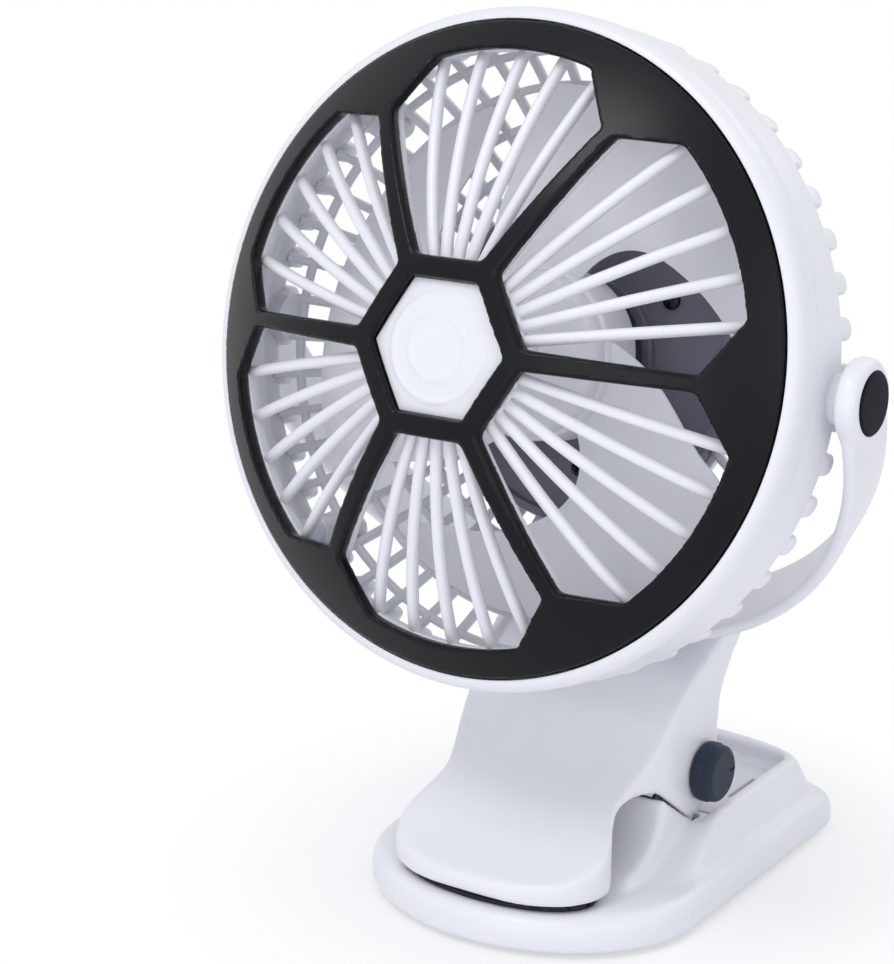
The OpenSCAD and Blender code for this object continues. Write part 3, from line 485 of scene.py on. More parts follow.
def moulded(name, colour, shade, rough, grain=0.35, depth=0.012, patch=24, gloss_level=0.5):
    """Injection-moulded plastic: slow drifts of tone and gloss, and a fine spark-eroded grain."""
    made, tree, surface = material(name)
    where = add(tree, "ShaderNodeTexCoord").outputs["Object"]
    drift = add(tree, "ShaderNodeTexNoise", {"Vector": where, "Scale": 1000 / patch, "Detail": 3})
    fine = add(tree, "ShaderNodeTexNoise", {"Vector": where, "Scale": 1000 / grain, "Detail": 2})
    gloss = add(tree, "ShaderNodeMapRange", {0: drift.outputs[0], 3: rough - GLOSS_SPREAD,
                                              4: rough + GLOSS_SPREAD})
    bump = add(tree, "ShaderNodeBump", {"Height": fine.outputs[0], "Strength": 0.25, "Distance": depth * MM})
    tree.links.new(mixed_tone(tree, drift.outputs[0], colour, shade), surface.inputs["Base Color"])
    tree.links.new(gloss.outputs[0], surface.inputs["Roughness"])
    tree.links.new(bump.outputs[0], surface.inputs["Normal"])
    surface.inputs["IOR"].default_value = PLASTIC_IOR
    surface.inputs["Specular IOR Level"].default_value = gloss_level
    return made


# Satin ABS housing: a soft even sheen with a cool white
white_abs = moulded("satin_moulded_abs", "#E8E9EE", "#E3E4EA", 0.36)
# Unpolished ABS inside the base: same stock, duller
inner_abs = moulded("matt_moulded_abs", "#E1E2E9", "#DADBE3", 0.5, grain=0.6, depth=0.02)
# Polypropylene blades: paler and waxier than the housing
blade_pp = moulded("moulded_polypropylene", "#F6F6FA", "#F0F1F6", 0.42, patch=18)
# Semi-gloss black ABS trim: near black with a blue cast and a soft broad sheen
black_abs = moulded("semi_gloss_black_abs", "#0A0B11", "#0D0E15", 0.28, grain=0.5, depth=0.006,
                    gloss_level=0.17)
# Spark-eroded black caps: flat and matt
black_cap = moulded("matt_black_abs", "#14161F", "#191C26", 0.5, grain=0.5, depth=0.03, gloss_level=0.05)
# Glass-filled nylon mount: mid grey and dry
grey_nylon = moulded("glass_filled_nylon", "#7A7B88", "#72737F", 0.48, grain=0.7, depth=0.04)
# Soft-touch knob: dark blue-grey, satin
knob_tpe = moulded("soft_touch_polymer", "#303846", "#2A313F", 0.5, grain=0.45, depth=0.02, gloss_level=0.12)
washer_nylon = moulded("unfilled_nylon", "#9A9CA8", "#8D8F9C", 0.4)
rubber = moulded("nitrile_rubber", "#17181D", "#1F2026", 0.72, grain=0.8, depth=0.06)


def foam():
    """Closed-cell EVA foam: small pores of about a millimetre."""
    made, tree, surface = material("eva_foam")
    where = add(tree, "ShaderNodeTexCoord").outputs["Object"]
    cells = add(tree, "ShaderNodeTexVoronoi", {"Vector": where, "Scale": 1000 / 1.1})
    bump = add(tree, "ShaderNodeBump", {"Height": cells.outputs[0], "Strength": 0.5, "Distance": 0.15 * MM})
    tree.links.new(mixed_tone(tree, cells.outputs[0], "#3A3B43", "#53545E"), surface.inputs["Base Color"])
    tree.links.new(bump.outputs[0], surface.inputs["Normal"])
    surface.inputs["Roughness"].default_value = 0.85
    return made


def metal(name, colour, rough, scratch, stretch=(1, 1, 1)):
    """Bare or plated metal: fine drawn or turned marks that break up its reflections."""
    made, tree, surface = material(name)
    where = add(tree, "ShaderNodeTexCoord").outputs["Object"]
    along = add(tree, "ShaderNodeMapping", {0: where, 3: stretch})
    marks = add(tree, "ShaderNodeTexNoise", {"Vector": along.outputs[0], "Scale": 1000 / scratch,
                                             "Detail": 4})
    gloss = add(tree, "ShaderNodeMapRange", {0: marks.outputs[0], 3: rough * 0.7, 4: rough * 1.4})
    bump = add(tree, "ShaderNodeBump", {"Height": marks.outputs[0], "Strength": 0.2, "Distance": 0.01 * MM})
    tree.links.new(gloss.outputs[0], surface.inputs["Roughness"])
    tree.links.new(bump.outputs[0], surface.inputs["Normal"])
    surface.inputs["Base Color"].default_value = linear(colour)
    surface.inputs["Metallic"].default_value = 1
    return made


drawn_steel = metal("drawn_steel", "#C9CACE", 0.28, 0.5, (0.08, 1, 1))
zinc_steel = metal("zinc_plated_steel", "#A9ABB2", 0.32, 0.6)
black_oxide = metal("black_oxide_steel", "#3A3B42", 0.42, 0.6)
eva_foam = foam()


def wrapped_cell():
    """Shrink-wrapped cell: glossy blue film with faint puckers."""
    made, tree, surface = material("shrink_wrap_pvc")
    where = add(tree, "ShaderNodeTexCoord").outputs["Object"]
    folds = add(tree, "ShaderNodeTexNoise", {"Vector": where, "Scale": 1000 / 9, "Detail": 2})
    bump = add(tree, "ShaderNodeBump", {"Height": folds.outputs[0], "Strength": 0.4, "Distance": 0.2 * MM})
    tree.links.new(bump.outputs[0], surface.inputs["Normal"])
    surface.inputs["Base Color"].default_value = linear("#3E6CB2")
    surface.inputs["Roughness"].default_value = 0.22
    return made


def circuit_board():
    """Solder mask over copper: green with lighter tracks about 0.6 mm wide."""
    made, tree, surface = material("solder_mask")
    where = add(tree, "ShaderNodeTexCoord").outputs["Object"]
    tracks = add(tree, "ShaderNodeTexBrick", {"Vector": where, "Scale": 1000 / 3, "Mortar Size": 0.1,
                                              "Color1": linear("#1C5A3A"), "Color2": linear("#1F6340"),
                                              "Mortar": linear("#3E8A5C")})
    tree.links.new(tracks.outputs[0], surface.inputs["Base Color"])
    surface.inputs["Roughness"].default_value = 0.3
    return made


cell_wrap = wrapped_cell()
solder_mask = circuit_board()


def paint(piece, finish):
    """Gives a piece one finish in place of any other."""
    piece.data.materials.clear()
    piece.data.materials.append(finish)


def dress(piece, finish, body, *replaced):
    """Gives a piece its finish and its body, and hides the CAD nodes it stands for."""
    paint(piece, finish)
    for face in piece.data.polygons:
        face.material_index = 0
    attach(piece, body)
    if replaced:
        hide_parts(*replaced)
    return piece


# ---------- head ----------
# The grille screws' places in the head's frame
CORNERS = [Matrix.Rotation(math.radians(angle), 4, "Z") @ Matrix.Translation((SCREW_RING_R, 0, 0))
           for angle in SCREW_ANGLES]


def front_cage():
    """The front grille: bezel with its rim, the disc's seat, four screw posts and the ribs."""
    # The rim is a quarter of an ellipse, from its widest line to the trim's edge
    lip_r, lip_a = TRIM_R + 0.3, FACE_A - 0.65
    rim = [(lip_r + (RIM_R - lip_r) * math.cos(t), RIM_A + (lip_a - RIM_A) * math.sin(t))
           for t in np.linspace(0, 1.5, 9)]
    step_r, skirt_in, skirt_out, skirt_low = TRIM_R - 3.3, DRUM_IN - 2.7, DRUM_IN - 0.3, SEAM_A - 3
    bezel = turned(filleted([
        (RIM_R, SEAM_A, 0.5), *rim, (lip_r, lip_a, 0.3), (lip_r, dome_z(lip_r, 3.5)),
        (step_r, dome_z(step_r, 3.5)), (BAND_IN, dome_z(BAND_IN, 3.5), 0.3),
        (BAND_IN, dome_z(BAND_IN, 6.5), 0.6), (skirt_in, SEAM_A + 1), (skirt_in, skirt_low, 0.3),
        (skirt_out, skirt_low, 0.3), (skirt_out, SEAM_A)]))
    seat_in, seat_out = 13.4, 19.6
    seat = turned(filleted([
        (seat_in, dome_z(seat_in, RIB_SKIN), 0.3), (seat_out, dome_z(seat_out, RIB_SKIN), 0.3),
        (seat_out, dome_z(seat_out, 6.3), 0.5), (seat_in, dome_z(seat_in, 6.3), 0.5)]), 96)
    post = turned(filleted([(0, skirt_low), (3, skirt_low, 0.3), (3, 17), (0, 17)]), 32)
    posts = [moved(post, corner) for corner in CORNERS]
    cage = built("front_grille_cage", [bezel, seat, *posts], OWN_MM)
    grown(cage, RIBS, {
        "Count": 36, "Cluster": 6, "Step": RIB_STEP, "Inner radius": 16.8, "Outer radius": 67.5,
        "Dome radius": DOME_R - (RIB_SKIN + RIB_T / 2), "Dome centre": DOME_C, "Width": RIB_W,
        "Depth": RIB_T, "Edge": 1.15, "Finish": white_abs})
    return placed(cage, HEAD)


dress(front_cage(), white_abs, "head", "front_grille")


def eased_trim():
    """The trim with its edges eased and its two faces kept on the dome."""
    piece = relaxed(remeshed(merged_copy("grille_trim", "football_trim"), 0.5), 7)
    to_head = (Matrix.Scale(MM, 4) @ HEAD).inverted()
    back = to_head.inverted()
    centre = Vector((0, 0, DOME_C))
    near = 0.16
    for v in piece.data.vertices:
        p = to_head @ v.co - centre
        for level in (DOME_R, DOME_R - TRIM_T):
            if abs(p.length - level) < near:
                v.co = back @ (centre + p.normalized() * level)
    return shaded(piece, 60)


dress(eased_trim(), black_abs, "head", "grille_trim")


def hexagon_disc():
    """Hexagonal disc with two shallow rings on its face."""
    rings = [0, 2, 4, 5.6, 6.4, 6.9, 7.3, 7.8, 8.6, 9.8, 10.8, 11.4, 11.8, 12.3, 13, 14]
    count, edge, sunk = 96, 16.8, 2.1
    verts = [(0, 0, dome_z(0, sunk))]
    rows = []

    def rise(r):
        return 0.28 * math.exp(-((r - 7.1) / 0.45) ** 2) + 0.32 * math.exp(-((r - 11.7) / 0.5) ** 2)

    def hexagon(t):
        return math.cos(math.pi / 6) / math.cos((t % (math.pi / 3)) - math.pi / 6)

    for r in rings[1:] + [edge - 0.5, edge - 0.15, edge, edge]:
        depth = {edge - 0.15: 0.1, edge: 0.45}.get(r, 0)
        # The last ring is the foot of the edge
        if len(rows) == len(rings) + 2:
            depth = 1.5
        share = min(1, max(0, (r - 12.5) / 3))
        row = []
        for k in range(count):
            t = math.tau * k / count
            radius = r * (1 - share + share * hexagon(t))
            row.append(len(verts))
            verts.append((radius * math.cos(t), radius * math.sin(t), dome_z(radius, sunk) + rise(r) - depth))
        rows.append(row)
    faces = [[0, rows[0][k], rows[0][(k + 1) % count]] for k in range(count)]
    for row, after in zip(rows, rows[1:]):
        faces += [[row[k], after[k], after[(k + 1) % count], row[(k + 1) % count]] for k in range(count)]
    faces.append(rows[-1][::-1])
    return built("hexagon_disc", [(verts, faces)], HEAD)


dress(hexagon_disc(), white_abs, "head", "front_disc")

# Section of a ring that ties the rear ribs, leaning as they do
TIE_SECTION = ((-0.9, -1.1, 0.5), (0.9, -0.2, 0.5), (0.9, 1.5, 0.4), (-0.9, 0.7, 0.4))


def tie_ring(number):
    """A ring that ties the rear ribs, counted from the closed disc outwards."""
    r = REAR_DISC_R + (DRUM_IN - REAR_DISC_R) * number / (REAR_RINGS + 0.6)
    z = REAR_C - math.sqrt((REAR_R - REAR_T / 2) ** 2 - r * r)
    return turned(filleted([(r + x, z + y, rounding) for x, y, rounding in TIE_SECTION], 3), 144)


def tooth():
    """A rounded tooth of the drum's rear edge."""
    arc = [(TOOTH_R * math.cos(t), -3.4 + TOOTH_R * math.sin(t))
           for t in [math.pi + math.pi * k / 10 for k in range(11)]]
    outline = [(-TOOTH_R, 0.6), *arc, (TOOTH_R, 0.6)]
    # The outline's own X, Y and Z become Y, Z and X
    outwards = Matrix(((0, 0, 1, 0), (1, 0, 0, 0), (0, 1, 0, 0), (0, 0, 0, 1)))
    return moved(extruded(outline, 72.3, DRUM_R - SEAT), outwards)


def rear_cage():
    """The rear shell: drum, closed disc, rings, pivot bosses, screw sleeves, teeth and ribs."""
    drum = turned(filleted([(DRUM_R, -0.4, 0.5), (DRUM_R, SEAM_A - SEAT, 0.4), (DRUM_IN, SEAM_A - SEAT, 0.3),
                            (DRUM_IN, -0.4, 0.3)]))
    disc_a = -REAR_DEPTH + 2.6
    disc = turned(filleted([(0, -REAR_DEPTH), (REAR_DISC_R, -REAR_DEPTH, 0.7), (REAR_DISC_R, disc_a, 0.4),
                            (0, disc_a)]), 128)
    boss_end = BOSS_X - 0.6
    boss = turned(filleted([(0, DRUM_IN - 4), (5.6, DRUM_IN - 4), (5.6, boss_end, 0.6), (1.55, boss_end, 0.2),
                            (1.55, DRUM_IN + 1), (0, DRUM_IN + 1)]), 48)
    sleeve_a = SEAM_A - 3.1
    sleeve = turned(filleted([(2.3, -8, 0.3), (3.4, -8, 0.4), (3.4, sleeve_a, 0.3), (1.3, sleeve_a, 0.2),
                              (1.3, -3), (2.3, -3)]), 32)
    shells = [drum, disc, *(tie_ring(number) for number in range(1, REAR_RINGS + 1))]
    shells += [moved(boss, side) for side in SIDES]
    shells += [moved(sleeve, corner) for corner in CORNERS]
    half_step = math.pi / REAR_RIBS
    teeth = built("teeth", [tooth()], OWN_MM, bevel=0.75)
    grown(teeth, WHEEL, {"Count": REAR_RIBS, "First angle": half_step, "Finish": white_abs})
    rear = built("rear", shells, OWN_MM)
    grown(rear, RIBS, {
        "Count": REAR_RIBS, "First angle": half_step, "Inner radius": 40.0, "Outer radius": 73.4,
        "Dome radius": REAR_R - REAR_T / 2, "Dome centre": REAR_C, "Side": -1.0, "Width": 2.2,
        "Depth": REAR_T, "Edge": 0.85, "Finish": white_abs})
    return placed(joined("rear_shell_cage", [rear, teeth]), HEAD)


dress(rear_cage(), white_abs, "head", "rear_shell")

# Section of the dark mount from its back: a raised rim, a step and the motor's socket
MOUNT_SECTION = (
    (0, 0), (MOUNT_R, 0, 0.4), (MOUNT_R, 5.2, 0.5), (MOUNT_R - 2, 5.2, 0.4), (MOUNT_R - 2, MOUNT_H, 0.4),
    (19, MOUNT_H, 0.3), (19, 5.4, 0.6), (16.4, 5.4, 0.4), (16.4, MOUNT_H, 0.2), (14.4, MOUNT_H, 0.2),
    (14.4, 7, 0.5), (12.05, 7, 0.3), (12.05, MOUNT_H), (0, MOUNT_H))
mount = turned(filleted([(r, MOUNT_A + a, *rounding) for r, a, *rounding in MOUNT_SECTION]), 128)
dress(built("motor_plate", [mount], HEAD), grey_nylon, "head", "motor_mount")

# ---------- rotor ----------
BLADE_COUNT, BLADE_TURN = 3, math.radians(61)
BLADE_T, BLADE_PITCH, BLADE_HALF, CAMBER, BLADE_A = 1.6, math.radians(8), 58, 1.5, -2.5
# The blade's two edges as chains of curves, seen along the axis, from the hub to the tip's leading corner
LEADING = (
    ((17, 2), (24, 2), (33.5, -1), (34.4, -12)),
    ((34.4, -12), (35, -24), (31.5, -33), (27.5, -39.5)),
    ((27.5, -39.5), (24.5, -44.5), (21.5, -50), (20.8, -54)))
TRAILING = (
    ((3.4, 16.8), (5, 19), (8, 21), (12, 23.5)),
    ((12, 23.5), (20, 28.2), (31, 28.6), (38.3, 30.4)),
    ((38.3, 30.4), (45, 33.5), (50, 34.5), (52.8, 30.5)),
    ((52.8, 30.5), (61.1, 16.2), (63.2, -0.9), (58.6, -16.8)),
    ((58.6, -16.8), (54.1, -32.7), (43.3, -46.1), (28.6, -53.9)),
    ((28.6, -53.9), (24, -56.3), (20.8, -57), (20.8, -54)))
# How far forward a blade may reach at a radius, under the front grille's ribs and over the hub
BLADE_FRONT = ((19, 1.3), (23, 2.3), (34, 8.5), (50, 15), (64, 13))


def bezier(a, b, c, d, t):
    """The point at share t of a cubic curve from a to d, led by b and c."""
    s = 1 - t
    return [s ** 3 * p + 3 * s * s * t * q + 3 * s * t * t * u + t ** 3 * w for p, q, u, w in zip(a, b, c, d)]


def evenly(chain, count):
    """Points evenly spaced along a chain of curves, its last three hundredths left off."""
    fine = [bezier(*part, k / 40) for part in chain for k in range(40)] + [chain[-1][3]]
    along = np.concatenate([[0], np.cumsum([math.dist(a, b) for a, b in zip(fine, fine[1:])])])
    wanted = np.linspace(0, along[-1] * 0.97, count)
    return list(zip(*(np.interp(wanted, along, [p[axis] for p in fine]) for axis in (0, 1))))


def blade_height(x, y):
    """Height of the blade's middle surface, by its pitch, its camber and the room before it."""
    chord = y / math.cos(BLADE_PITCH)
    for _ in range(3):
        bulge = CAMBER * (1 - (chord / BLADE_HALF) ** 2)
        chord = (y - bulge * math.sin(BLADE_PITCH)) / math.cos(BLADE_PITCH)
    z = chord * math.sin(BLADE_PITCH) - (bulge - BLADE_T / 2) * math.cos(BLADE_PITCH) + BLADE_A
    return min(z, np.interp(math.hypot(x, y), *zip(*BLADE_FRONT)) - BLADE_T)


def blade():
    """A cambered, pitched blade with a rounded edge all round."""
    rows, cols = 60, 21
    grid = []
    for low, high in zip(evenly(LEADING, rows), evenly(TRAILING, rows)):
        row = []
        for j in range(cols):
            t = j / (cols - 1)
            x = low[0] + (high[0] - low[0]) * t
            y = low[1] + (high[1] - low[1]) * t
            row.append(Vector((x, y, blade_height(x, y))))
        grid.append(row)
    lift = Vector((0, -math.sin(BLADE_PITCH), math.cos(BLADE_PITCH))) * BLADE_T / 2
    verts, faces = [], []

    def index(side, i, j):
        return side * rows * cols + i * cols + j

    for side in (1, -1):
        for i in range(rows):
            for j in range(cols):
                # Steps from the blade's free edge; the row inside the hub counts as far from it
                steps = min(i if i else 9, rows - 1 - i, j, cols - 1 - j)
                thin = {0: 0.45, 1: 0.85}.get(steps, 1)
                verts.append(grid[i][j] + lift * side * thin)
    for side, order in ((0, 1), (1, -1)):
        for i in range(rows - 1):
            for j in range(cols - 1):
                corners = [(i, j), (i + 1, j), (i + 1, j + 1), (i, j + 1)]
                faces.append([index(side, *corner) for corner in corners[::order]])
    loop = [(i, 0) for i in range(rows)] + [(rows - 1, j) for j in range(1, cols)]
    loop += [(i, cols - 1) for i in range(rows - 2, -1, -1)] + [(0, j) for j in range(cols - 2, 0, -1)]
    for here, there in zip(loop, loop[1:] + loop[:1]):
        faces.append([index(0, *here), index(1, *here), index(1, *there), index(0, *there)])
    return verts, faces


def impeller():
    """The blades and their hub."""
    blades = shaded(built("blades", [blade()], OWN_MM), 60)
    grown(blades, WHEEL, {"Count": BLADE_COUNT, "First angle": BLADE_TURN, "Finish": blade_pp})
    nose_a, web_a, skirt_in = 7.7, -0.3, HUB_R - 1.6
    hub = built("hub", [turned(filleted([
        (HUB_R, HUB_REAR, 0.5), (HUB_R, HUB_A, 0.8), (4, HUB_A), (4, nose_a, 0.4), (1.05, nose_a),
        (1.05, web_a), (skirt_in, web_a, 0.6), (skirt_in, HUB_REAR, 0.5)]), 96)], OWN_MM)
    return placed(joined("impeller_blades", [blades, hub]), HEAD)


def spinner_cap():
    """The plain cap round the hub's nose."""
    bore, rim, low, high = 4.05, HUB_R - 1, HUB_A + SEAT, HUB_A + 4.05
    section = [(bore, low), (rim, low, 0.3), (rim, high, 2.8), (bore, high, 0.3)]
    return built("spinner_cap", [turned(filleted(section), 96)], HEAD)


dress(impeller(), blade_pp, "rotor", "impeller")
dress(spinner_cap(), blade_pp, "rotor", "hub_cap")


# ---------- screws ----------
def screw_head(radius, height, recess):
    """A domed head, underside at 0, with a cross recess."""
    head = built("head", [turned(filleted([
        (0, 0), (radius, 0, 0.1), (radius, height * 0.55, radius * 0.3),
        (radius * 0.55, height, radius * 0.5), (0, height)], 4), 40)], OWN_MM)
    arm = radius * 0.55
    # The second bar is a hair deeper and taller, so that no two faces lie in one plane
    cross = built("cross", [block((-arm, arm), (-recess, recess), height * 0.45, height + 1)], OWN_MM)
    other = built("other", [block((-recess, recess), (-arm, arm), height * 0.451, height + 1.01)], OWN_MM)
    return cut(head, combined(cross, other, "UNION"))


def points_tree():
    """One copy of a screw at each point of the geometry, turned a little more each time."""
    tree, source = new_tree("placed_screws", {"Screw": ("NodeSocketObject", None), "Turn": (FLOAT, 0.7),
                                              "Finish": (MATERIAL, None)})
    screw = add(tree, "GeometryNodeObjectInfo", {"Object": source.outputs["Screw"], "As Instance": True})
    number = add(tree, "GeometryNodeInputIndex")
    turn = maths(tree, "MULTIPLY", number.outputs[0], source.outputs["Turn"])
    euler = add(tree, "ShaderNodeCombineXYZ", {2: turn})
    spin = add(tree, "FunctionNodeEulerToRotation", {0: euler.outputs[0]})
    copies = add(tree, "GeometryNodeInstanceOnPoints", {
        "Points": source.outputs[0], "Instance": screw.outputs["Geometry"], "Rotation": spin.outputs[0]})
    return end_tree(tree, source, copies.outputs[0])


SCREWS = points_tree()


def screws(name, spots, head_size, shank_size, matrix, finish):
    """Screws whose heads stand on spots, shanks down, in a frame of their own.

    A head's size is its radius, height and recess; a shank's is its radius and length."""
    radius, length = shank_size
    shaft = built("shaft", [rod(radius, -length, 0.02, 24)], OWN_MM)
    one = joined("one_screw", [screw_head(*head_size), shaft])
    mesh = bpy.data.meshes.new(name)
    mesh.from_pydata(spots, [], [])
    piece = grown(linked(name, mesh), SCREWS, {"Screw": one, "Turn": 0.7, "Finish": finish})
    bpy.data.objects.remove(one)
    return placed(shaded(piece), matrix)


def ring_spots(radius, angles, z):
    """Points on a circle about Z, at angles in degrees."""
    return [(radius * math.cos(math.radians(a)), radius * math.sin(math.radians(a)), z) for a in angles]


# Frames whose +Z runs out of the neck's rear and out of the base's underside
NECK_REAR = Matrix.Translation((0, 11.4 + SEAT, 0)) @ Matrix.Rotation(-math.pi / 2, 4, "X")
UNDERSIDE = Matrix.Translation((0, 0, 2.15)) @ FLIP
MOUNT_SPOTS = ring_spots(26.3, (36, 156, 276), MOUNT_A + MOUNT_H + SEAT)
GRILLE_SPOTS = ring_spots(SCREW_RING_R, SCREW_ANGLES, 3 + SEAT)
COVER_SPOTS = [(x, -42, 0) for x in (21, -21)]
BASE_SPOTS = [(x, y, 0) for y in (21, -42) for x in (34.4, -34.4)]
dress(screws("mount_screw_set", MOUNT_SPOTS, (2.2, 1.4, 0.35), (1.2, 5.2), HEAD, black_oxide),
      black_oxide, "head", "mount_screws")
dress(screws("grille_screw_set", GRILLE_SPOTS, (2.15, 1.3, 0.35), (1.19, 12), HEAD @ FLIP, zinc_steel),
      zinc_steel, "head", "grille_screws")
dress(screws("cover_screw_set", COVER_SPOTS, (1.9, 1.0, 0.3), (1, 9), NECK_REAR, zinc_steel),
      zinc_steel, "upper_clip", "cover_screws")
dress(screws("base_screw_set", BASE_SPOTS, (2.2, 0.5, 0.35), (1.2, 5.6), UNDERSIDE, zinc_steel),
      zinc_steel, "base", "base_screws")


# ---------- yoke ----------
def yoke_band():
    """The half-round band, as a shell swept about the tilt axis."""
    half_w, steps = 9.3, 120
    section = filleted([(YOKE_RI, -half_w, 1.1), (YOKE_RO, -half_w, 1.3), (YOKE_RO, half_w, 1.3),
                        (YOKE_RI, half_w, 1.1)], 5)
    n = len(section)
    verts, faces = [], []
    for i in range(steps + 1):
        t = math.pi + math.pi * i / steps
        verts += [(r * math.cos(t), w, r * math.sin(t)) for r, w in section]
    for i in range(steps):
        row, after = i * n, (i + 1) * n
        faces += [[row + k, row + (k + 1) % n, after + (k + 1) % n, after + k] for k in range(n)]
    faces += [list(range(n))[::-1], list(range(steps * n, (steps + 1) * n))]
    return verts, faces


def yoke_shell():
    """The band blended into its two bosses and its foot, with the holes cut sharp."""
    boss_r, boss_end, foot_r, foot_top = 9.6, BOSS_OUT - 0.1, 12, 4 - FLAT_Z
    boss = turned(filleted([(0, BOSS_X), (boss_r, BOSS_X, 0.8), (boss_r, boss_end, 2.2), (0, boss_end)]), 72)
    foot = turned(filleted([(0, -FLAT_Z), (foot_r, -FLAT_Z, 0.5), (foot_r, foot_top), (0, foot_top)]), 72)
    bosses = [moved(boss, side) for side in SIDES]
    piece = relaxed(remeshed(built("yoke_band", [yoke_band(), *bosses, foot], YOKE), 0.55), 6)
    socket_r, screw_r, socket_end = 7.1, 3.3, BOSS_OUT + 2
    socket = turned([(0, CAP_FLOOR - 2), (screw_r, CAP_FLOOR - 2), (screw_r, CAP_FLOOR),
                     (socket_r, CAP_FLOOR), (socket_r, socket_end), (0, socket_end)], 72)
    shank_hole = rod(1.6, BOSS_X - 2, CAP_FLOOR - 1, 32)
    post_hole = rod(6.2, -YOKE_RI - 1, -YOKE_RI + 9, 48)
    for hole in [moved(hole, side) for side in SIDES for hole in (socket, shank_hole)] + [post_hole]:
        cut(piece, built("bore", [hole], YOKE))
    return shaded(piece, 50)


def cap_pair():
    """The two flat caps over the pivot screws."""
    cap_r, low, edge, middle = 7, CAP_FLOOR + SEAT, CAP_FLOOR + 1.95, CAP_FLOOR + 1.75
    cap = turned(filleted([(0, low), (cap_r, low, 0.2), (cap_r, edge, 0.6), (0, middle)]), 96)
    return built("pivot_cap_pair", [moved(cap, side) for side in SIDES], YOKE)


dress(yoke_shell(), white_abs, "yoke_arm", "yoke")
dress(cap_pair(), black_cap, "yoke_arm", "pivot_caps")


# ---------- clip and base ----------
def softened(node, name, voxel, rounds, inner, *neighbours):
    """A CAD node's shape with rounded outer edges, softened less inside and by its neighbours."""
    piece = remeshed(merged_copy(node, name), voxel)
    share = outer_share(piece.data) * (1 - inner) + inner
    for neighbour in neighbours:
        share *= clear_share(piece.data, nodes[neighbour].data)
    return shaded(relaxed(piece, rounds, share), 70)


dress(softened("upper_jaw", "jaw_and_neck", 0.62, 16, 0.1, "base_shell"),
      white_abs, "upper_clip", "upper_jaw")
dress(softened("base_shell", "base_housing", 0.7, 12, 0.15, "upper_jaw", "battery_cover"),
      white_abs, "base", "base_shell")
neck_back = relaxed(remeshed(merged_copy("neck_cover", "neck_back"), 0.5), 3)
dress(shaded(neck_back, 60), white_abs, "upper_clip", "neck_cover")


def eased(node, name, width):
    """A CAD node's flat-sided shape with a small bevel on its edges."""
    piece = merged_copy(node, name)

    def flatten(made):
        bmesh.ops.dissolve_limit(made, angle_limit=math.radians(1), verts=made.verts, edges=made.edges)

    reworked(piece.data, flatten)
    return shaded(modified(piece, "BEVEL", width=width * MM, segments=3, limit_method="ANGLE",
                           angle_limit=math.radians(50)))


dress(eased("battery_cover", "battery_door", 0.3), inner_abs, "base", "battery_cover")
dress(eased("battery_cell", "battery_pack", 1.0), cell_wrap, "base", "battery_cell")


def grooved(node, name, face):
    """A rubber pad with grooves across one of its faces: 0 for the lower, 1 for the upper."""
    piece = eased(node, name, 0.25)
    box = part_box(node)
    y, last, height = box[0].y / MM + 3, box[1].y / MM - 2, box[face].z / MM
    half_w, deep, pitch = 0.5, 0.6, 4
    while y < last:
        bar = block((-30, 30), (y - half_w, y + half_w), height - deep, height + deep)
        cut(piece, built("bar", [bar]))
        y += pitch
    return shaded(piece)


dress(grooved("lower_grip_pad", "lower_pad", 1), rubber, "base", "lower_grip_pad")
dress(grooved("upper_grip_pad", "upper_pad", 0), rubber, "upper_clip", "upper_grip_pad")

# Section of the knob from its seat: a broad skirt, a waist and a slightly dished face
KNOB_SECTION = (
    (0, 0), (7.2, 0, 0.5), (7.4, 1.0, 0.4), (7.38, 2.6, 0.25), (7.0, 3.0, 0.3), (7.12, 3.5, 0.3),
    (6.9, 4.7, 0.9), (5.9, 5.4, 0.9), (2.2, 5.3, 0.4), (0, 5.3))


def dial_knob():
    """The speed knob, with a pointer cut into its face."""
    matrix = Matrix.Translation(KNOB_AT) @ Matrix.Rotation(math.pi / 2, 4, "Y")
    knob = built("dial", [turned(filleted(KNOB_SECTION), 96)], matrix)
    pointer = built("pointer", [block((-0.4, 0.4), (3.6, 6.0), 5.0, 6.5)], matrix)
    return shaded(cut(knob, pointer))


dress(dial_knob(), knob_tpe, "dial", "speed_knob")

SPRING_HALF = 8.6


def spring_wire():
    """The torsion spring: a helix round the pin with a leg each way."""
    steps, turns, coil = 28, 10.36, 4
    count = int(turns * steps)
    points = [(-SPRING_HALF, 8.6, HINGE_Z - coil)]
    for i in range(count + 1):
        t = math.radians(-90 + 360 * i / steps)
        points.append((-SPRING_HALF + 2 * SPRING_HALF * i / count, HINGE_Y + coil * math.cos(t),
                       HINGE_Z + coil * math.sin(t)))
    points.append((SPRING_HALF + 0.6, -10.6, 39.4))
    curve = bpy.data.curves.new("wire", "CURVE")
    curve.dimensions, curve.bevel_depth, curve.bevel_resolution, curve.use_fill_caps = "3D", 0.7, 3, True
    line = curve.splines.new("POLY")
    line.points.add(len(points) - 1)
    for point, place in zip(line.points, points):
        point.co = (*place, 1)
    holder = linked("wire", curve)
    graph = bpy.context.evaluated_depsgraph_get()
    mesh = bpy.data.meshes.new_from_object(holder.evaluated_get(graph), depsgraph=graph)
    bpy.data.objects.remove(holder)

    def close(made):
        bmesh.ops.remove_doubles(made, verts=made.verts, dist=1e-4)
        bmesh.ops.recalc_face_normals(made, faces=made.faces)

    reworked(mesh, close)
    return shaded(placed(linked("torsion_spring", mesh), TABLE), 60)


spring = spring_wire()
paint(spring, drawn_steel)
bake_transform(spring)
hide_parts("hinge_spring")

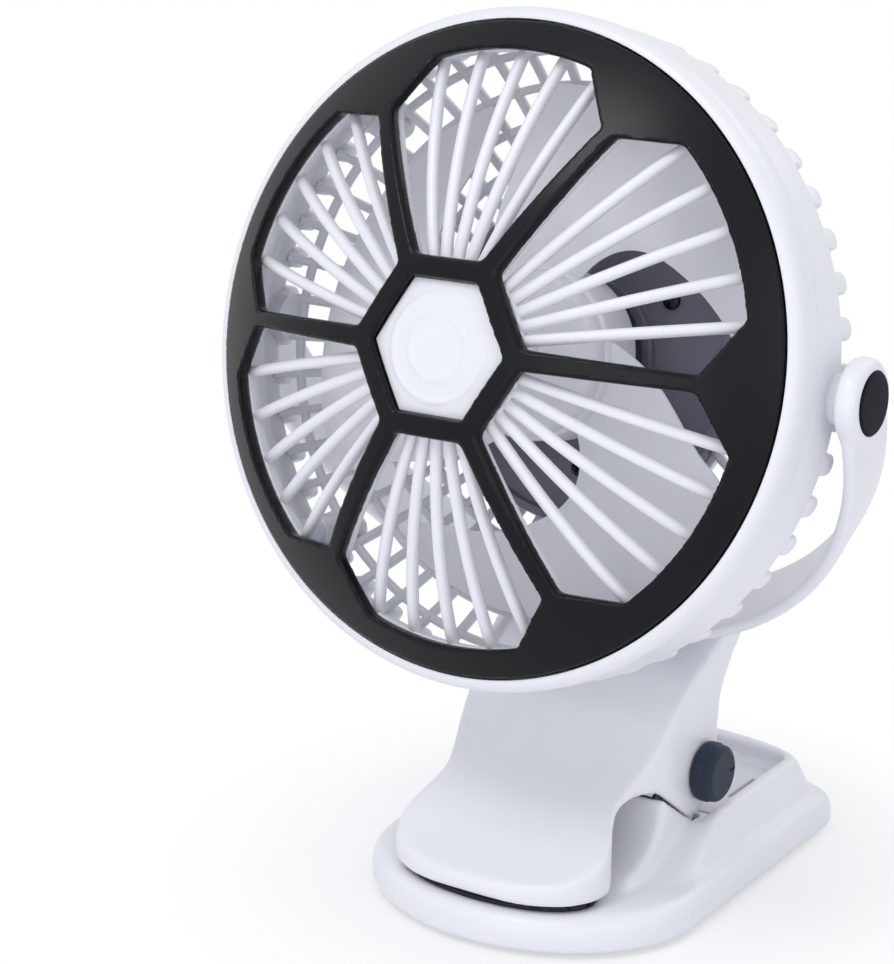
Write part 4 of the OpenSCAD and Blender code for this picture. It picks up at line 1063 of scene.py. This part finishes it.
# ---------- CAD nodes that keep their own shape ----------
for finish, names in (
        (grey_nylon, ("speed_control",)),
        (zinc_steel, ("motor_can", "motor_screws", "pin_clips", "swivel_clip", "pivot_screws")),
        (drawn_steel, ("motor_shaft", "swivel_post", "control_shaft", "hinge_pin", "charge_port")),
        (washer_nylon, ("pivot_washers", "swivel_washer")),
        (solder_mask, ("control_board", "charge_board")),
        (inner_abs, ("base_plate",)),
        (eva_foam, ("base_pad",))):
    for name in names:
        paint(nodes[name], finish)


# ---------- stage ----------
def floor_finish():
    """Pale sweep that keeps the fan's shadow and fades to white away from it."""
    made, tree, surface = material("studio_floor")
    surface.inputs["Base Color"].default_value = linear("#F4F4F8")
    surface.inputs["Roughness"].default_value = 0.8
    surface.inputs["Specular IOR Level"].default_value = 0.1
    where = add(tree, "ShaderNodeTexCoord").outputs["Object"]
    far = add(tree, "ShaderNodeVectorMath", {0: where}, operation="LENGTH")
    fade = add(tree, "ShaderNodeMapRange", {0: far.outputs["Value"], 1: 0.04, 2: 0.12, 3: 0.5, 4: 1.0},
               interpolation_type="SMOOTHSTEP")
    path = add(tree, "ShaderNodeLightPath").outputs
    seen = maths(tree, "MAXIMUM", path["Is Camera Ray"], path["Is Glossy Ray"])
    share = maths(tree, "MULTIPLY", seen, fade.outputs[0])
    white = add(tree, "ShaderNodeEmission", {"Color": (1, 1, 1, 1), "Strength": 1.0})
    blend = add(tree, "ShaderNodeMixShader", {0: share, 1: surface.outputs[0], 2: white.outputs[0]})
    out = next(n for n in tree.nodes if n.type == "OUTPUT_MATERIAL")
    tree.links.new(blend.outputs[0], out.inputs[0])
    return made


HALF_FLOOR = 6
ground = bpy.data.meshes.new("floor")
ground.from_pydata([(x * HALF_FLOOR, y * HALF_FLOOR, 0) for x, y in ((-1, -1), (1, -1), (1, 1), (-1, 1))],
                   [], [[0, 1, 2, 3]])
floor = linked("floor", ground)
ground.materials.append(floor_finish())


def studio_world():
    """Soft grey light from all round, seen as white by the camera and in reflections."""
    world = bpy.data.worlds.new("studio")
    world.use_nodes = True
    sky = world.node_tree
    sky.nodes.clear()
    rays = add(sky, "ShaderNodeLightPath").outputs
    through = maths(sky, "MAXIMUM", rays["Is Camera Ray"], rays["Is Transmission Ray"])
    seen = maths(sky, "MAXIMUM", through, rays["Is Glossy Ray"])
    dome = add(sky, "ShaderNodeBackground", {0: linear("#EEF0F4"), 1: 0.77})
    white = add(sky, "ShaderNodeBackground", {0: (1, 1, 1, 1), 1: 1.0})
    mixed = add(sky, "ShaderNodeMixShader", {0: seen, 1: dome.outputs[0], 2: white.outputs[0]})
    add(sky, "ShaderNodeOutputWorld", {0: mixed.outputs[0]})
    return world


bpy.context.scene.world = studio_world()

LAMP_AIM = Vector((0, -0.02, 0.11))
# Each lamp's name, place and size in metres, and power in watts
for name, place, size, power in (
        ("key", (-0.2, -0.85, 1.3), 0.5, 5.2),
        ("fill", (1.1, -0.7, 0.55), 0.8, 1.9),
        ("front", (0.2, -1.3, 0.3), 0.8, 2.6),
        ("back", (0.4, 1.0, 0.9), 0.7, 2.2)):
    lamp = bpy.data.lights.new(name, "AREA")
    lamp.size, lamp.energy = size, power
    holder = linked(name, lamp)
    holder.location = place
    holder.rotation_euler = (LAMP_AIM - Vector(place)).to_track_quat("-Z", "Y").to_euler()

AZIMUTH, ELEVATION, DISTANCE = math.radians(34.1), math.radians(16.0), 0.591
TARGET = Vector((-0.0242, -0.029, 0.1006))
# Focal length and the render's longer side in pixels, and the sensor's longer side in millimetres
FOCAL, LONG_SIDE, SENSOR = 2500, 964, 36
lens = bpy.data.cameras.new("camera")
lens.sensor_width, lens.lens = SENSOR, FOCAL * SENSOR / LONG_SIDE
camera = linked("camera", lens)
away = Vector((math.sin(AZIMUTH) * math.cos(ELEVATION), -math.cos(AZIMUTH) * math.cos(ELEVATION),
               math.sin(ELEVATION)))
camera.location = TARGET + away * DISTANCE
camera.rotation_euler = (-away).to_track_quat("-Z", "Y").to_euler()
bpy.context.scene.camera = camera
bpy.context.scene.view_settings.view_transform = "Standard"
